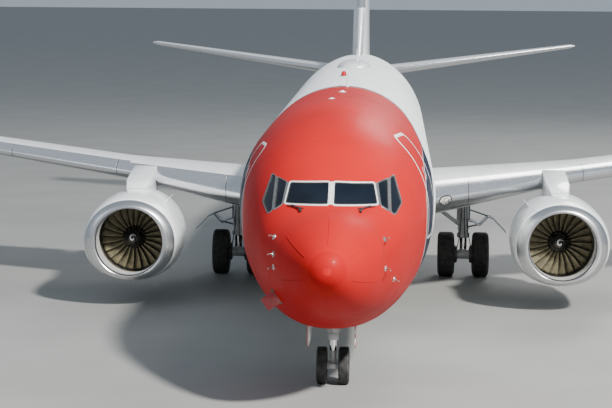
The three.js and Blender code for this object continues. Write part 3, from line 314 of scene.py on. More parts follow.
def fuselage_reach(points):
    """How far out from the waist line each point is, as a share of the way to the skin."""
    station = points[:, 1] + MIDDLE
    crown, keel, half, waist = curve_through(FUSELAGE_ROWS, station, root=True).T
    height = points[:, 2] - lift_at(station) - waist
    power = np.where(height > 0, 2.0, 2.0 / 0.9)
    room = np.maximum(np.where(height > 0, crown - waist, waist - keel), 1e-4)
    half = np.maximum(half, 1e-4)
    across, up = np.abs(points[:, 0]) / half, np.abs(height) / room
    return (across**power + up**power) ** (1 / power)


def fuselage_laid(points, proud=0.0):
    """Points moved straight out from the waist line to the skin, or proud of it."""
    points = np.asarray(points, float)
    station = points[:, 1] + MIDDLE
    waist = curve_through(FUSELAGE_ROWS, station, root=True)[:, 3] + lift_at(station)
    axis = np.column_stack([np.zeros(len(points)), points[:, 1], waist])
    arm = points - axis
    laid = axis + arm / np.maximum(fuselage_reach(points), 1e-6)[:, None]
    return laid + fuselage_normal(laid) * proud if proud else laid


def facing_of(reach, points, step=0.002):
    """The way out of a surface at points, from how their reach grows around them."""
    moves = np.eye(3) * step
    slope = np.column_stack([reach(points + move) - reach(points - move) for move in moves])
    return slope / np.maximum(np.linalg.norm(slope, axis=1), 1e-12)[:, None]


def fuselage_normal(points):
    return facing_of(fuselage_reach, points, 0.0015)


def opened(node):
    """A CAD node's mesh to be worked on, its corners joined."""
    work = bmesh.new()
    work.from_mesh(frame["nodes"][node].data)
    bmesh.ops.remove_doubles(work, verts=work.verts, dist=1e-5)
    return work


def closed(work, name, *finishes):
    """The object made of a worked mesh."""
    mesh = bpy.data.meshes.new(name)
    work.to_mesh(mesh)
    work.free()
    for finish in finishes:
        mesh.materials.append(finish.material)
    thing = bpy.data.objects.new(name, mesh)
    bpy.context.collection.objects.link(thing)
    return thing


def stands_for(thing, node):
    """Takes a CAD node's place on the node's own body."""
    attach(thing, body_of(frame["nodes"][node])[0])
    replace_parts(thing, node)
    return thing


def finer(node, cuts, laid, normal, finishes, slack=0.03):
    """A fine copy of a CAD node: its outer faces are cut by planes and laid on the true curve."""
    work = opened(node)
    work.normal_update()
    work.verts.index_update()
    points = np.array([vert.co[:] for vert in work.verts])
    near = np.linalg.norm(laid(points) - points, axis=1) < slack
    centres = np.array([face.calc_center_median()[:] for face in work.faces])
    facing = (normal(centres) * np.array([face.normal[:] for face in work.faces])).sum(axis=1)
    for face, along in zip(work.faces, facing):
        outer = along > 0.55 and all(near[vert.index] for vert in face.verts)
        face.material_index = 0 if outer else 1
    for place, direction in cuts:
        skin = [face for face in work.faces if face.material_index == 0]
        parts = work.verts[:] + work.edges[:] + skin
        bmesh.ops.bisect_plane(work, geom=parts, dist=1e-5, plane_co=place, plane_no=direction)
    skin = [face for face in work.faces if face.material_index == 0]
    verts = list({vert for face in skin for vert in face.verts})
    for vert, point in zip(verts, laid(np.array([vert.co[:] for vert in verts]))):
        vert.co = point
    work.normal_update()
    thing = closed(work, node + "_skin", *finishes)
    smooth_skin(thing.data, normal)
    return stands_for(thing, node)


def smooth_skin(mesh, normal):
    """Shades the outer faces, those of the first material, as the true curve."""
    mesh.shade_smooth()

    def read(parts, key, kind=np.int32, size=1):
        values = np.zeros(len(parts) * size, kind)
        parts.foreach_get(key, values)
        return values.reshape(-1, size) if size > 1 else values

    inner, sides = read(mesh.polygons, "material_index"), read(mesh.polygons, "loop_total")
    curved = normal(read(mesh.vertices, "co", float, 3))[read(mesh.loops, "vertex_index")]
    flat = np.repeat(read(mesh.polygons, "normal", float, 3), sides, axis=0)
    normals = np.where(np.repeat(inner, sides)[:, None] == 0, curved, flat)
    mesh.normals_split_custom_set(normals.tolist())


def drawn_back(thing, hinge, away, space=0.008):
    """Keeps the edge beside a hinge clear of its frame, so that the panel turns freely."""
    away = Vector(away).normalized()
    for vert in thing.data.vertices:
        near = (vert.co - Vector(hinge)).dot(away)
        if near < space:
            vert.co += away * (space - near)


def rings(start, end, gap):
    """Planes across the fuselage at equal steps."""
    tilt = (0.0, 1.0, RISE)
    return [((0, at - MIDDLE, lift_at(at) + 3), tilt) for at in np.arange(start, end, gap)]


def spokes(front, rear, count=64):
    """Planes through a line along the fuselage, fanned out round it."""
    line = Vector((0, rear[0] - front[0], rear[1] + lift_at(rear[0]) - front[1]
                   - lift_at(front[0])))
    place = (0, front[0] - MIDDLE, front[1] + lift_at(front[0]))
    across, upward = Vector((1, 0, 0)), Vector((1, 0, 0)).cross(line.normalized())
    turns = [math.pi * (step + 0.5) / count for step in range(count)]
    return [(place, across * math.cos(turn) + upward * math.sin(turn)) for turn in turns]


def stations(finish):
    """The station aft of the nose tip, and the height above the level line, in a material."""
    station = finish.y + MIDDLE
    return station, finish.z - (station - RISE_START) * RISE


def door_outline(finish, station, level, middle, height, half_width, half_height, corner=0.16):
    """The distance from a rounded door edge, negative inside it."""
    over = abs(station - middle) - half_width + corner
    rise = abs(level - height) - half_height + corner
    outside = over.at_least(0) * over.at_least(0) + rise.at_least(0) * rise.at_least(0)
    return outside.math("POWER", 0.5) + over.at_least(rise).at_most(0) - corner


RED, WHITE, BLUE = (0.44, 0.0125, 0.012), (0.88, 0.90, 0.91), (0.014, 0.018, 0.035)
RED_EDGE = [
    (0.0, 0.39), (1.0, 0.94), (0.20, 0.39), (0.30, 0.375), (0.42, 0.352), (0.53, 0.345),
    (0.583, 0.362), (0.617, 0.388), (0.65, 0.422), (0.675, 0.467), (0.697, 0.567),
    (0.717, 0.68), (0.742, 0.79), (0.783, 0.89), (0.84, 0.935),
]
paint = Finish("fuselage_paint", roughness=0.4, coat=0.025)
paint.set(**{"Coat Roughness": 0.16, "Specular IOR Level": 0.05})
station, level = stations(paint)
edge = (level / 6).along(RED_EDGE) * 12
behind = station - edge
left = paint.x > 0
front_door = door_outline(paint, station, level, left * 0.02 + 4.83, left * 0.09 + 3.475,
                          left * 0.05 + 0.38, left * 0.09 + 0.825)
rear_door = door_outline(paint, station, level, 32.18, left * 0.09 + 3.475, 0.38,
                         left * 0.09 + 0.825)
exits = door_outline(paint, abs(station - EXITS_MIDDLE), level, 0.495, 3.605, 0.255, 0.485, 0.1)
cargo = door_outline(paint, abs(station - 16.96), level, 8.75, 1.78, 0.61, 0.45, 0.09)
cargo = cargo + left * 9
outlines = front_door.near(0.015, 0.022).at_least(exits.near(0.01, 0.012))
handles = door_outline(paint, abs(station - 18.505), level, 13.675, 3.30, 0.13, 0.05, 0.03)
cuts_seen = (abs(rear_door) < 0.005).at_least(abs(cargo) < 0.005).at_least(abs(handles) < 0.006)
frames_seen = station.every(2.54, 0.0008)
laps = (level - 0.34).every(0.92, 0.002)
panel_lines = frames_seen.at_least(laps) * (station > RADOME_END)
radome_seam = (station - (level - NOSE_HEIGHT) * 0.29).near(1.18, 0.005)
lines = cuts_seen.at_least(panel_lines * 0.6).at_least(radome_seam * 0.8)
soot = paint.streaks(5.0, 2, 0.25, 2)
white = (soot.fade(0.45, 0.8) * 0.35).mix(WHITE, (0.66, 0.67, 0.68))
keel_dirt = level.fade(2.0, 1.2) * paint.noise(0.8, 6.0).fade(0.35, 0.7)
white = (keel_dirt * 0.6).mix(white, (0.42, 0.41, 0.39))
red = paint.noise(0.5, 3.0).fade(0.3, 0.7).mix(RED, (0.385, 0.0095, 0.0095))
cap_reach = (paint.x * paint.x + (level - NOSE_HEIGHT) * (level - NOSE_HEIGHT)).math("POWER", 0.5)
cap = (cap_reach < 0.315) * (station < 0.4)
red = (cap * 0.45).mix(red, (0.33, 0.0045, 0.007))
# The dark blue band is real livery; lower down it is widened as a painted reflection of the dark
# ground seen at grazing angles.
band_and_reflection_width = level.fade(4.5, 3.7) + 0.35
band = (behind > 0.045) * (behind < band_and_reflection_width)
colour = (behind > 0).mix(red, white)
colour = band.mix(colour, BLUE)
colour = (outlines * (station < 10)).mix(colour, (0.82, 0.82, 0.82))
colour = (outlines * (station > 10)).mix(colour, (0.45, 0.02, 0.03))
colour = (lines * 0.7).mix(colour, (0.05, 0.05, 0.05))
orange_peel = paint.noise(9.0, 2.0)
rivet_rows = station.every(0.508, 0.012)
rivets = rivet_rows * ((level / 0.036).math("FRACT") < 0.35) * (station > RADOME_END)
relief = orange_peel.bump(0.004, 0.10)
relief = (1 - lines).bump(0.002, 0.7, relief)
relief = rivets.bump(0.0006, 0.6, relief)
smear = paint.noise(2.5, 5.0).fade(0.5, 0.8) * 0.10 + keel_dirt * 0.25 + 0.46
paint.paint(colour, smear, relief)

primer = Finish("fuselage_structure", roughness=0.6)
ribs = primer.y.every(0.254, 0.06)
primer.paint(ribs.mix((0.30, 0.33, 0.22), (0.20, 0.22, 0.15)), normal=ribs.bump(0.02, 0.6))

nose_spokes = spokes((0.0, NOSE_HEIGHT), (NOSE_JOINT, 3.15))
tip_rings = [rings(at, at + 0.01, 1)[0] for at in (0.004, 0.012, 0.022, 0.055, 0.08, 0.11)]
tail_spokes = spokes((TAIL_JOINT, 3.16), (TAIL_END, 4.15))
middle_spokes = spokes((NOSE_JOINT, 3.16), (TAIL_JOINT, 3.16))
nose_cuts = nose_spokes + rings(RADOME_END, NOSE_JOINT, 0.075)
middle_cuts = middle_spokes + rings(5.9, 7.8, 0.2)
tail_cuts = tail_spokes + rings(24.1, 38.0, 0.2)
EXITS = [f"overwing_exit_{row}_{hand}" for row in ("front", "rear") for hand in ("left", "right")]
EXIT_HINGE = (0, -2.83, 4.2467)
FUSELAGE_PARTS = (
    (nose_spokes + tip_rings + rings(0.18, 1.17, 0.045), ["radome"]),
    (nose_cuts, ["fuselage_nose", "passenger_door_forward", "service_door_forward"]),
    (middle_cuts, ["fuselage_mid", "cargo_door_forward", *EXITS]),
    (tail_cuts, ["fuselage_aft", "passenger_door_aft", "service_door_aft", "cargo_door_aft"]),
)
for cuts, nodes in FUSELAGE_PARTS:
    for node in nodes:
        skin = finer(node, cuts, fuselage_laid, fuselage_normal, (paint, primer))
        if node in EXITS:
            drawn_back(skin, EXIT_HINGE, (0, RISE, -1))


# Windscreen: six panes of thick layered glass, heated by a film inside them, each clamped from
# outside by a screwed metal retainer. The panes sit almost flush in the nose.
PANES = {
    "front": [(0.045, 3.505), (0.795, 3.485), (0.725, 3.815), (0.045, 3.840)],
    "middle": [(0.850, 3.460), (0.985, 3.370), (0.960, 3.870), (0.785, 3.815)],
    "rear": [(1.025, 3.345), (1.100, 3.295), (1.210, 3.465), (1.070, 3.910), (1.000, 3.885)],
}
RETAINER, SEAL, PANE_DEPTH, PANE_THICKNESS = 0.019, 0.014, 0.008, 0.026


def ahead_on_skin(across, up, proud=0.0):
    """Points of the nose seen from the front at these places, on the skin or proud of it."""
    near, far = np.full(len(across), 0.005), np.full(len(across), 6.5)
    for _ in range(40):
        middle = (near + far) / 2
        points = np.column_stack([across, middle - MIDDLE, up])
        outside = fuselage_reach(points) > 1
        near, far = np.where(outside, middle, near), np.where(outside, far, middle)
    points = np.column_stack([across, far - MIDDLE, up])
    return points + fuselage_normal(points) * proud


def rounded(corners, grow, radius, gap=0.05):
    """The outline through corners moved out by grow, with its corners rounded."""
    corners = [Vector(corner) for corner in corners]
    count = len(corners)
    turns = sum((corners[i - 1].cross(corners[i]) for i in range(count)))
    way = -1 if turns > 0 else 1
    runs = [(corners[(i + 1) % count] - corners[i]).normalized() for i in range(count)]
    outward = [Vector((-run.y, run.x)) * way for run in runs]
    moved = []
    for i in range(count):
        share = outward[i - 1] + outward[i]
        moved.append(corners[i] + share * (grow / (1 + outward[i - 1].dot(outward[i]))))
    outline = []
    for i in range(count):
        start, end = moved[i] - runs[i - 1] * radius, moved[i] + runs[i] * radius
        for step in range(5):
            t = step / 4
            outline.append(start * (1 - t) ** 2 + moved[i] * (2 * t * (1 - t)) + end * t**2)
        stop = moved[(i + 1) % count] - runs[i] * radius
        parts = max(1, int((stop - end).length / gap))
        outline += [end.lerp(stop, part / parts) for part in range(1, parts)]
    return np.array([tuple(point) for point in outline])


def loft(rows, closed_loft=False, caps=False):
    """Corners and faces of rows of points joined in order."""
    count, verts = len(rows[0]), [tuple(point) for row in rows for point in row]
    faces = []
    last = len(rows) if closed_loft else len(rows) - 1
    for row in range(last):
        below, beyond = row * count, (row + 1) % len(rows) * count
        for at in range(count):
            beside = (at + 1) % count
            faces.append((below + at, below + beside, beyond + beside, beyond + at))
    if caps:
        faces.append(tuple(reversed(range(count))))
        faces.append(tuple((len(rows) - 1) * count + at for at in range(count)))
    return verts, faces


def outward(thing):
    """Turns every face outwards on a closed shape."""
    work = bmesh.new()
    work.from_mesh(thing.data)
    bmesh.ops.remove_doubles(work, verts=work.verts, dist=1e-6)
    bmesh.ops.recalc_face_normals(work, faces=work.faces)
    work.to_mesh(thing.data)
    work.free()
    return thing


def crisp(thing, degrees=35):
    thing.data.set_sharp_from_angle(angle=math.radians(degrees))
    return thing


def join(name, things):
    """One object of several, all of them on the same body."""
    with bpy.context.temp_override(active_object=things[0], selected_editable_objects=things):
        bpy.ops.object.join()
    things[0].name = things[0].data.name = name
    return things[0]


def joined(name, things, body="airframe"):
    """One object of several, on a body."""
    thing = join(name, things)
    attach(thing, body)
    return thing


def solid(name, rows, finish, body="airframe", angle=35, hollow=False):
    """A lofted shape that faces outwards, on a body: capped, or a hollow ring."""
    thing = shape(name, *loft(rows, closed_loft=hollow, caps=not hollow), finish, body)
    crisp(outward(thing), angle)
    return thing


def pane(outline, name, finish, deep=PANE_DEPTH, thick=PANE_THICKNESS):
    """A curved sheet at a depth in the skin, cut to an outline seen from the front."""
    work = bmesh.new()
    work.faces.new([work.verts.new((x, 0, z)) for x, z in outline])
    low, high = outline.min(axis=0), outline.max(axis=0)
    for axis, direction in ((0, (1, 0, 0)), (1, (0, 0, 1))):
        for at in np.arange(low[axis] + 0.02, high[axis], 0.06):
            place = (at, 0, 0) if axis == 0 else (0, 0, at)
            parts = work.verts[:] + work.edges[:] + work.faces[:]
            bmesh.ops.bisect_plane(work, geom=parts, plane_co=place, plane_no=direction)
    front = work.verts[:]
    back = bmesh.ops.extrude_face_region(work, geom=work.faces[:])["geom"]
    back = [part for part in back if isinstance(part, bmesh.types.BMVert)]
    for verts, inwards in ((front, deep), (back, deep + thick)):
        flat = np.array([vert.co[:] for vert in verts])
        for vert, point in zip(verts, ahead_on_skin(flat[:, 0], flat[:, 2], -inwards)):
            vert.co = point
    thing = closed(work, name, finish)
    thing.data.shade_smooth()
    return crisp(outward(thing))


screen_glass = Finish("windscreen_glass", roughness=0.03, coat=0.2)
screen_glass.set(Alpha=0.94, **{"Specular IOR Level": 0.2})
film = screen_glass.noise(1.6, 2.0).fade(0.3, 0.7)
edge_tint = film.mix((0.002, 0.004, 0.008), (0.005, 0.008, 0.015))
wiped = screen_glass.noise(14.0, 3.0).fade(0.45, 0.85) * 0.05 + 0.02
screen_glass.paint(edge_tint, wiped)
retainer_metal = mottled("window_retainer", 0.35, (18.0, 4.0), (0.35, 0.75), (0.78, 0.79, 0.79),
                         (0.62, 0.63, 0.64), (0.0008, 0.5), metallic=0.1)
side_metal = mottled("side_window_metal", 0.4, (25.0, 4.0), (0.4, 0.75), (0.13, 0.14, 0.15),
                     (0.24, 0.25, 0.25), (0.0006, 0.4), metallic=0.5)
seal_rubber = mottled("window_seal", 0.7, (60.0, 4.0), (0.45, 0.75), (0.015, 0.015, 0.016),
                      (0.05, 0.05, 0.05), (0.001, 0.4))
POSTS = (("front", 1, 2, "middle", 0, 3), ("middle", 1, 2, "rear", 0, 4))


def frame_ring(name, corners, section, finish):
    """A ring that follows a pane's outline: steps out from it, and proud of the skin."""
    rows = []
    for grow, proud in section:
        outline = rounded(corners, grow, 0.032 + max(grow, -0.01) * 0.5)
        rows.append(ahead_on_skin(outline[:, 0], outline[:, 1], proud))
    return solid(name, rows, finish, None, hollow=True)


panes, retainers, seals = [], [], []
for side in (1, -1):
    for name, corners in PANES.items():
        sided = [(x * side, z) for x, z in corners]
        panes.append(pane(rounded(sided, -0.002, 0.030), f"pane_{name}", screen_glass))
        wide = RETAINER if name == "front" else 0.012
        section = ((wide, -0.02), (wide, 0.001), (wide - 0.003, 0.005), (0.001, 0.005),
                   (-0.002, 0.002), (-0.002, -0.02))
        metal = retainer_metal if name == "front" else side_metal
        retainers.append(frame_ring(f"retainer_{name}", sided, section, metal))
        section = ((-0.001, -0.018), (-0.001, 0.002), (-SEAL, 0.001), (-SEAL - 0.003, -0.006),
                   (-SEAL, -0.018))
        seals.append(frame_ring(f"seal_{name}", sided, section, seal_rubber))
    for near, low, high, far, foot, head in POSTS:
        corners = [PANES[near][low], PANES[far][foot], PANES[far][head], PANES[near][high]]
        corners = [(x * side, z) for x, z in corners]
        retainers.append(pane(rounded(corners, -0.002, 0.004, 0.08), "post", side_metal, -0.0035,
                              0.02))
middle_post = [(-0.045, 3.505), (0.045, 3.505), (0.045, 3.840), (-0.045, 3.840)]
retainers.append(pane(rounded(middle_post, 0.004, 0.004, 0.08), "post", retainer_metal, -0.0045,
                      0.02))
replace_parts(joined("windscreen_panes", panes), "flight_deck_glazing")
joined("windscreen_retainers", retainers)
joined("windscreen_seals", seals)


# Wipers: two parallel arms below the front panes, each a sprung steel arm, painted black, that
# holds a rubber blade. They are parked along the sill.
def turns(count, start=0.0):
    """Equal turns round a circle."""
    return [2 * math.pi * (step + start) / count for step in range(count)]


def tube(name, path, radius, finish, sides=10, body=None):
    """A round bar or hose along a path."""
    path = [Vector(point) for point in path]
    rows, side = [], None
    for at, point in enumerate(path):
        before, after = path[max(at - 1, 0)], path[min(at + 1, len(path) - 1)]
        run = (after - before).normalized()
        if side is None:
            side = run.orthogonal().normalized()
        side = (side - run * side.dot(run)).normalized()
        other = run.cross(side)
        size = radius[at] if isinstance(radius, (list, tuple)) else radius
        rows.append([point + (side * math.cos(t) + other * math.sin(t)) * size
                     for t in turns(sides)])
    return solid(name, rows, finish, body, 50)


def bent(points, parts=6):
    """A smooth curve through points, as a list of closer points."""
    rows = np.array([(at, *point) for at, point in enumerate(points)], float)
    return curve_through(rows, np.linspace(0, len(points) - 1, (len(points) - 1) * parts + 1))


black_fitting = mottled("black_fitting", 0.5, (30.0, 4.0), (0.45, 0.8), (0.018, 0.018, 0.019),
                        (0.06, 0.06, 0.06), (0.001, 0.4))
wipers = []
for side in (1, -1):
    for low, high, size, proud in (((0.50, 3.405), (0.66, 3.452), 0.012, 0.03),
                                   ((0.46, 3.424), (0.74, 3.446), 0.009, 0.018),
                                   ((0.50, 3.375), (0.52, 3.420), 0.022, 0.02)):
        across = np.linspace(low[0], high[0], 6) * side
        path = ahead_on_skin(across, np.linspace(low[1], high[1], 6), proud)
        wipers.append(tube("wiper", path, size, black_fitting))
joined("windscreen_wipers", wipers)


# Flight deck: grey trim panels, seats and instrument panel, seen dimly through the glass. The
# CAD node is right for what shows of it, so it keeps its shape and gets its finishes.
deck_trim = Finish("flight_deck_trim", roughness=0.7)
high_up = deck_trim.z.fade(3.15, 3.45)
panel_grid = deck_trim.x.every(0.09, 0.44) * deck_trim.z.every(0.07, 0.42)
deck_grain = deck_trim.noise(40.0, 4.0)
deck_colour = (panel_grid * 0.4).mix((0.05, 0.055, 0.06), (0.10, 0.105, 0.11))
deck_trim.paint(high_up.mix(deck_colour, (0.02, 0.02, 0.022)), normal=deck_grain.bump(0.001, 0.4))
frame["nodes"]["flight_deck"].data.materials.clear()
frame["nodes"]["flight_deck"].data.materials.append(deck_trim.material)


# Cabin windows: a row of small oval panes on each side, one at every frame bay, each in a
# pressed metal reveal. Each is set out by Geometry Nodes from one pane and one reveal.
WINDOW_PITCH, WINDOW_LEVEL, WINDOW_HALF = 0.508, 3.68, (0.125, 0.175)
FIRST_WINDOW, LAST_WINDOW, BODY_RADIUS = 6.45, 31.0, 1.88
EXIT_AT = (16.905, 17.895)


def set_out_tree():
    """Puts a shape on every point, its +Z along the point's facing and its +X along its run."""
    tree = bpy.data.node_groups.new("set_out", "GeometryNodeTree")
    inputs = {"Geometry": "Geometry", "Shape": "Object", "Scale": "Float", "Finish": "Material"}
    for label, kind in inputs.items():
        tree.interface.new_socket(label, in_out="INPUT", socket_type="NodeSocket" + kind)
    tree.interface.new_socket("Geometry", in_out="OUTPUT", socket_type="NodeSocketGeometry")
    nodes, link = tree.nodes, tree.links.new
    start, end = nodes.new("NodeGroupInput"), nodes.new("NodeGroupOutput")
    source = nodes.new("GeometryNodeObjectInfo")
    link(start.outputs["Shape"], source.inputs["Object"])
    turned = None
    for attribute, axis, pivot in (("facing", "Z", "AUTO"), ("run", "X", "Z")):
        read = nodes.new("GeometryNodeInputNamedAttribute")
        read.data_type = "FLOAT_VECTOR"
        read.inputs["Name"].default_value = attribute
        align = nodes.new("FunctionNodeAlignRotationToVector")
        align.axis, align.pivot_axis = axis, pivot
        link(read.outputs["Attribute"], align.inputs["Vector"])
        if turned:
            link(turned.outputs["Rotation"], align.inputs["Rotation"])
        turned = align
    place = nodes.new("GeometryNodeInstanceOnPoints")
    link(start.outputs["Geometry"], place.inputs["Points"])
    link(source.outputs["Geometry"], place.inputs["Instance"])
    link(turned.outputs["Rotation"], place.inputs["Rotation"])
    link(start.outputs["Scale"], place.inputs["Scale"])
    real = nodes.new("GeometryNodeRealizeInstances")
    link(place.outputs["Instances"], real.inputs["Geometry"])
    paint_all = nodes.new("GeometryNodeSetMaterial")
    link(real.outputs["Geometry"], paint_all.inputs["Geometry"])
    link(start.outputs["Finish"], paint_all.inputs["Material"])
    link(paint_all.outputs["Geometry"], end.inputs["Geometry"])
    return tree


set_out_nodes = set_out_tree()


def applied(thing, name):
    """Turns what a thing's modifiers make into its own mesh."""
    bpy.context.view_layer.update()
    seen = thing.evaluated_get(bpy.context.evaluated_depsgraph_get())
    made = bpy.data.meshes.new_from_object(seen)
    thing.modifiers.clear()
    made.name = name
    thing.data = made


def set_out(name, points, facing, run, master, finish, body="airframe", scale=1.0):
    """Copies of a master shape on points, as one plain mesh that rides on a body."""
    mesh = bpy.data.meshes.new(name + "_points")
    mesh.from_pydata([tuple(point) for point in points], [], [])
    for label, vectors in (("facing", facing), ("run", run)):
        layer = mesh.attributes.new(label, "FLOAT_VECTOR", "POINT")
        layer.data.foreach_set("vector", np.asarray(vectors, np.float32).ravel())
    carrier = bpy.data.objects.new(name, mesh)
    bpy.context.collection.objects.link(carrier)
    modifier = carrier.modifiers.new("set_out", "NODES")
    modifier.node_group = set_out_nodes
    values = {"Shape": master, "Scale": scale, "Finish": finish.material}
    for item in set_out_nodes.interface.items_tree:
        if item.in_out == "INPUT" and item.name in values:
            modifier[item.identifier] = values[item.name]
    applied(carrier, name)
    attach(carrier, body)
    return carrier


def master_of(thing):
    """A shape that is only copied: it is taken out of the scene."""
    bpy.context.collection.objects.unlink(thing)
    return thing


def oval(half_width, half_height, steps=28, power=2.6):
    places = np.array([(math.cos(turn), math.sin(turn)) for turn in turns(steps)])
    return np.sign(places) * np.abs(places) ** (2 / power) * (half_width, half_height)


def wrapped(outline, height):
    """An outline bent over the body's own radius: x along it, y round it, z out of it."""
    turn = outline[:, 1] / BODY_RADIUS
    out = (BODY_RADIUS + height) * np.cos(turn) - BODY_RADIUS
    return np.column_stack([outline[:, 0], (BODY_RADIUS + height) * np.sin(turn), out])


reveal_rows = [wrapped(oval(WINDOW_HALF[0] + grow, WINDOW_HALF[1] + grow), height)
               for grow, height in ((0.026, -0.004), (0.022, 0.003), (0.004, 0.003), (0.0, -0.003))]
pane_rows = [wrapped(oval(WINDOW_HALF[0] * part, WINDOW_HALF[1] * part), 0.0005)
             for part in (1.02, 0.75, 0.45, 0.02)]
reveal = master_of(shape("reveal", *loft(reveal_rows, closed_loft=True), retainer_metal))
window_pane = master_of(shape("window_pane", *loft(pane_rows, caps=True), screen_glass))
cabin_glass = Finish("cabin_window_glass", roughness=0.08, coat=1.0)
bay = ((cabin_glass.y + MIDDLE - FIRST_WINDOW) / WINDOW_PITCH + 0.5).math("FLOOR")
shade = cabin_glass.add("TexWhiteNoise", {"noise_dimensions": "1D"},
                        {"W": bay + (cabin_glass.x > 0) * 90})
glass_station, glass_level = stations(cabin_glass)
drawn = (shade > 0.72) * (glass_level > WINDOW_LEVEL - 0.04)
drawn = drawn * (abs(glass_station - EXITS_MIDDLE) > 0.8)
cabin_glass.paint((drawn * 0.8).mix((0.018, 0.022, 0.028), (0.35, 0.36, 0.36)),
                  cabin_glass.noise(6.0) * 0.06 + 0.04)


def window_place(side, at, level):
    """The point of the skin beside a station, at a height above the level line."""
    point = np.array([[side * 1.8, at - MIDDLE, level + lift_at(at)]])
    for _ in range(4):
        point[0, 2] = level + lift_at(at)
        point = fuselage_laid(point)
    return point[0]


places, exit_places = [], []
for side in (1, -1):
    for number in range(int((LAST_WINDOW - FIRST_WINDOW) / WINDOW_PITCH)):
        at = FIRST_WINDOW + number * WINDOW_PITCH
        if min(abs(at - EXIT_AT[0]), abs(at - EXIT_AT[1])) < 0.33 or 11.6 < at < 12.0:
            continue
        places.append(window_place(side, at, WINDOW_LEVEL))
    for row, at in zip(("front", "rear"), EXIT_AT):
        body = f"overwing_exit_{row}_{'left' if side > 0 else 'right'}"
        exit_places.append((body, window_place(side, at, WINDOW_LEVEL)))


def windows(name, places, body="airframe", scale=1.0):
    """A reveal and a pane at each place."""
    normals, along = fuselage_normal(np.array(places)), [(0, 1, RISE)] * len(places)
    for label, master, finish, slot in (("reveal", reveal, retainer_metal, "white_paint"),
                                        ("pane", window_pane, cabin_glass, "glass")):
        set_out(name.format(label), places, normals, along, master, finish, body, scale)


windows("cabin_window_{}s", places)
for at in (4.83, 32.18):
    door_places = [window_place(side, at, 3.80) for side in (1, -1)]
    windows(f"door_window_{{}}_{round(at)}", door_places, scale=0.62)
for body, place in exit_places:
    windows(body + "_{}", [place], body)


# Wings: two-spar aluminium boxes with bonded skins, joined inside the belly. The leading edge
# is bare polished metal, the top pale grey, the fixed track fairings are glass fibre.
WING_ROOT, WING_KINK, WING_TIP = 1.88, 5.5, 17.16


def half_thickness(share, thick):
    rest = -0.126 * share - 0.3516 * share**2 + 0.2843 * share**3 - 0.1036 * share**4
    return 5 * thick * (0.2969 * np.sqrt(share) + rest)


def wing_plan(span):
    """Leading edge, chord, height, thickness, twist and camber at a distance from the middle."""
    lead = np.minimum(13.8 + (span - WING_ROOT) * 0.811, 13.7 + 0.52 * span)
    trail = np.maximum(21.2 - (span - WING_ROOT) * 0.1215, 20.76 + (span - WING_KINK) * 0.283)
    thick = np.interp(span, [WING_ROOT, WING_KINK, WING_TIP], [0.14, 0.122, 0.105])
    twist = np.radians(np.interp(span, [WING_ROOT, WING_TIP], [1.6, -0.6]))
    return lead, trail - lead, 2.26 + 0.105 * span, thick, twist, 0.012


def foil_skin(plan, span_axis, lift_axis, tip):
    """The two functions that lay points on a wing or tail surface and give its facing."""
    def parts(points):
        span = np.abs(points[:, span_axis])
        lead, chord, base, thick, twist, camber = plan(span)
        share = (points[:, 1] + MIDDLE - lead) / chord
        along = np.clip(share, 0, 1)
        mean = base + camber * 4 * along * (1 - along) * chord - along * chord * np.sin(twist)
        return share, span, mean, half_thickness(along, thick) * chord + 0.005 * along

    def laid(points):
        points = np.asarray(points, float)
        share, span, mean, half = parts(points)
        over = points[:, lift_axis] > mean
        moved = points.copy()
        moved[:, lift_axis] = np.where(over, mean + half, mean - half)
        edge = (share < 1e-5) | (share > 0.9985)
        moved[edge] = points[edge]
        away = (share < -0.003) | (share > 1.003) | (span > tip)
        moved[away, lift_axis] += 9
        return moved

    def normal(points):
        points = np.asarray(points, float)
        side = np.where(points[:, lift_axis] > parts(points)[2], 1.0, -1.0)

        def gap(at):
            share, span, mean, half = parts(at)
            return side * (at[:, lift_axis] - mean) - half

        return facing_of(gap, points)

    return laid, normal


CHORD_CUTS = (0.0004, 0.0015, 0.0035, 0.0055, 0.013, 0.021, 0.05, 0.07, 0.09, 0.14, 0.17, 0.2,
              0.28, 0.32, 0.36, 0.45, 0.5, 0.55, 0.65, 0.7, 0.76, 0.87, 0.93)


def chord_planes(plan, root, tip, span_axis, lift_axis, side=1):
    """Planes along a wing or tail surface at equal shares of its chord."""
    ends = np.array([root, tip])
    lead, chord = plan(ends)[:2]
    upward = Vector([axis == lift_axis for axis in range(3)])
    planes = []
    for share in CHORD_CUTS:
        near, far = Vector(), Vector()
        for point, end in ((near, 0), (far, 1)):
            point[span_axis] = ends[end] * side
            point.y = lead[end] + chord[end] * share - MIDDLE
        planes.append((near, (far - near).cross(upward).normalized()))
    return planes


def cleared(thing, keep):
    """Takes away faces whose middle fails a test, where a finer piece takes their place."""
    work = bmesh.new()
    work.from_mesh(thing.data)
    gone = [face for face in work.faces if not keep(face.calc_center_median())]
    bmesh.ops.delete(work, geom=gone, context="FACES")
    work.to_mesh(thing.data)
    work.free()


wing_laid, wing_normal = foil_skin(wing_plan, 0, 2, WING_TIP + 0.002)
wing_paint = Finish("wing_paint", roughness=0.3, coat=0.3)
span = abs(wing_paint.x)
wing_station = wing_paint.y + MIDDLE
wing_lead = ((span - WING_ROOT) * 0.811 + 13.8).at_most(span * 0.52 + 13.7)
wing_trail = ((span - WING_ROOT) * -0.1215 + 21.2).at_least((span - WING_KINK) * 0.283 + 20.76)
wing_share = (wing_station - wing_lead) / (wing_trail - wing_lead)
slat_edge = (span < 5.3) * -0.04 + 0.125
slat = (wing_share < slat_edge) * (span < 16.95) * (span > 1.9)
slat_gap = wing_share.near(slat_edge, 0.0012) * (span < 16.95)
slat_ends = (1 - (span - 5.6).every(2.8, 0.4965)) * slat
spars = wing_share.near(0.62, 0.0006).at_least(wing_share.near(0.2, 0.0006))
ribs_seen = span.every(1.35, 0.0018) * (wing_share > slat_edge)
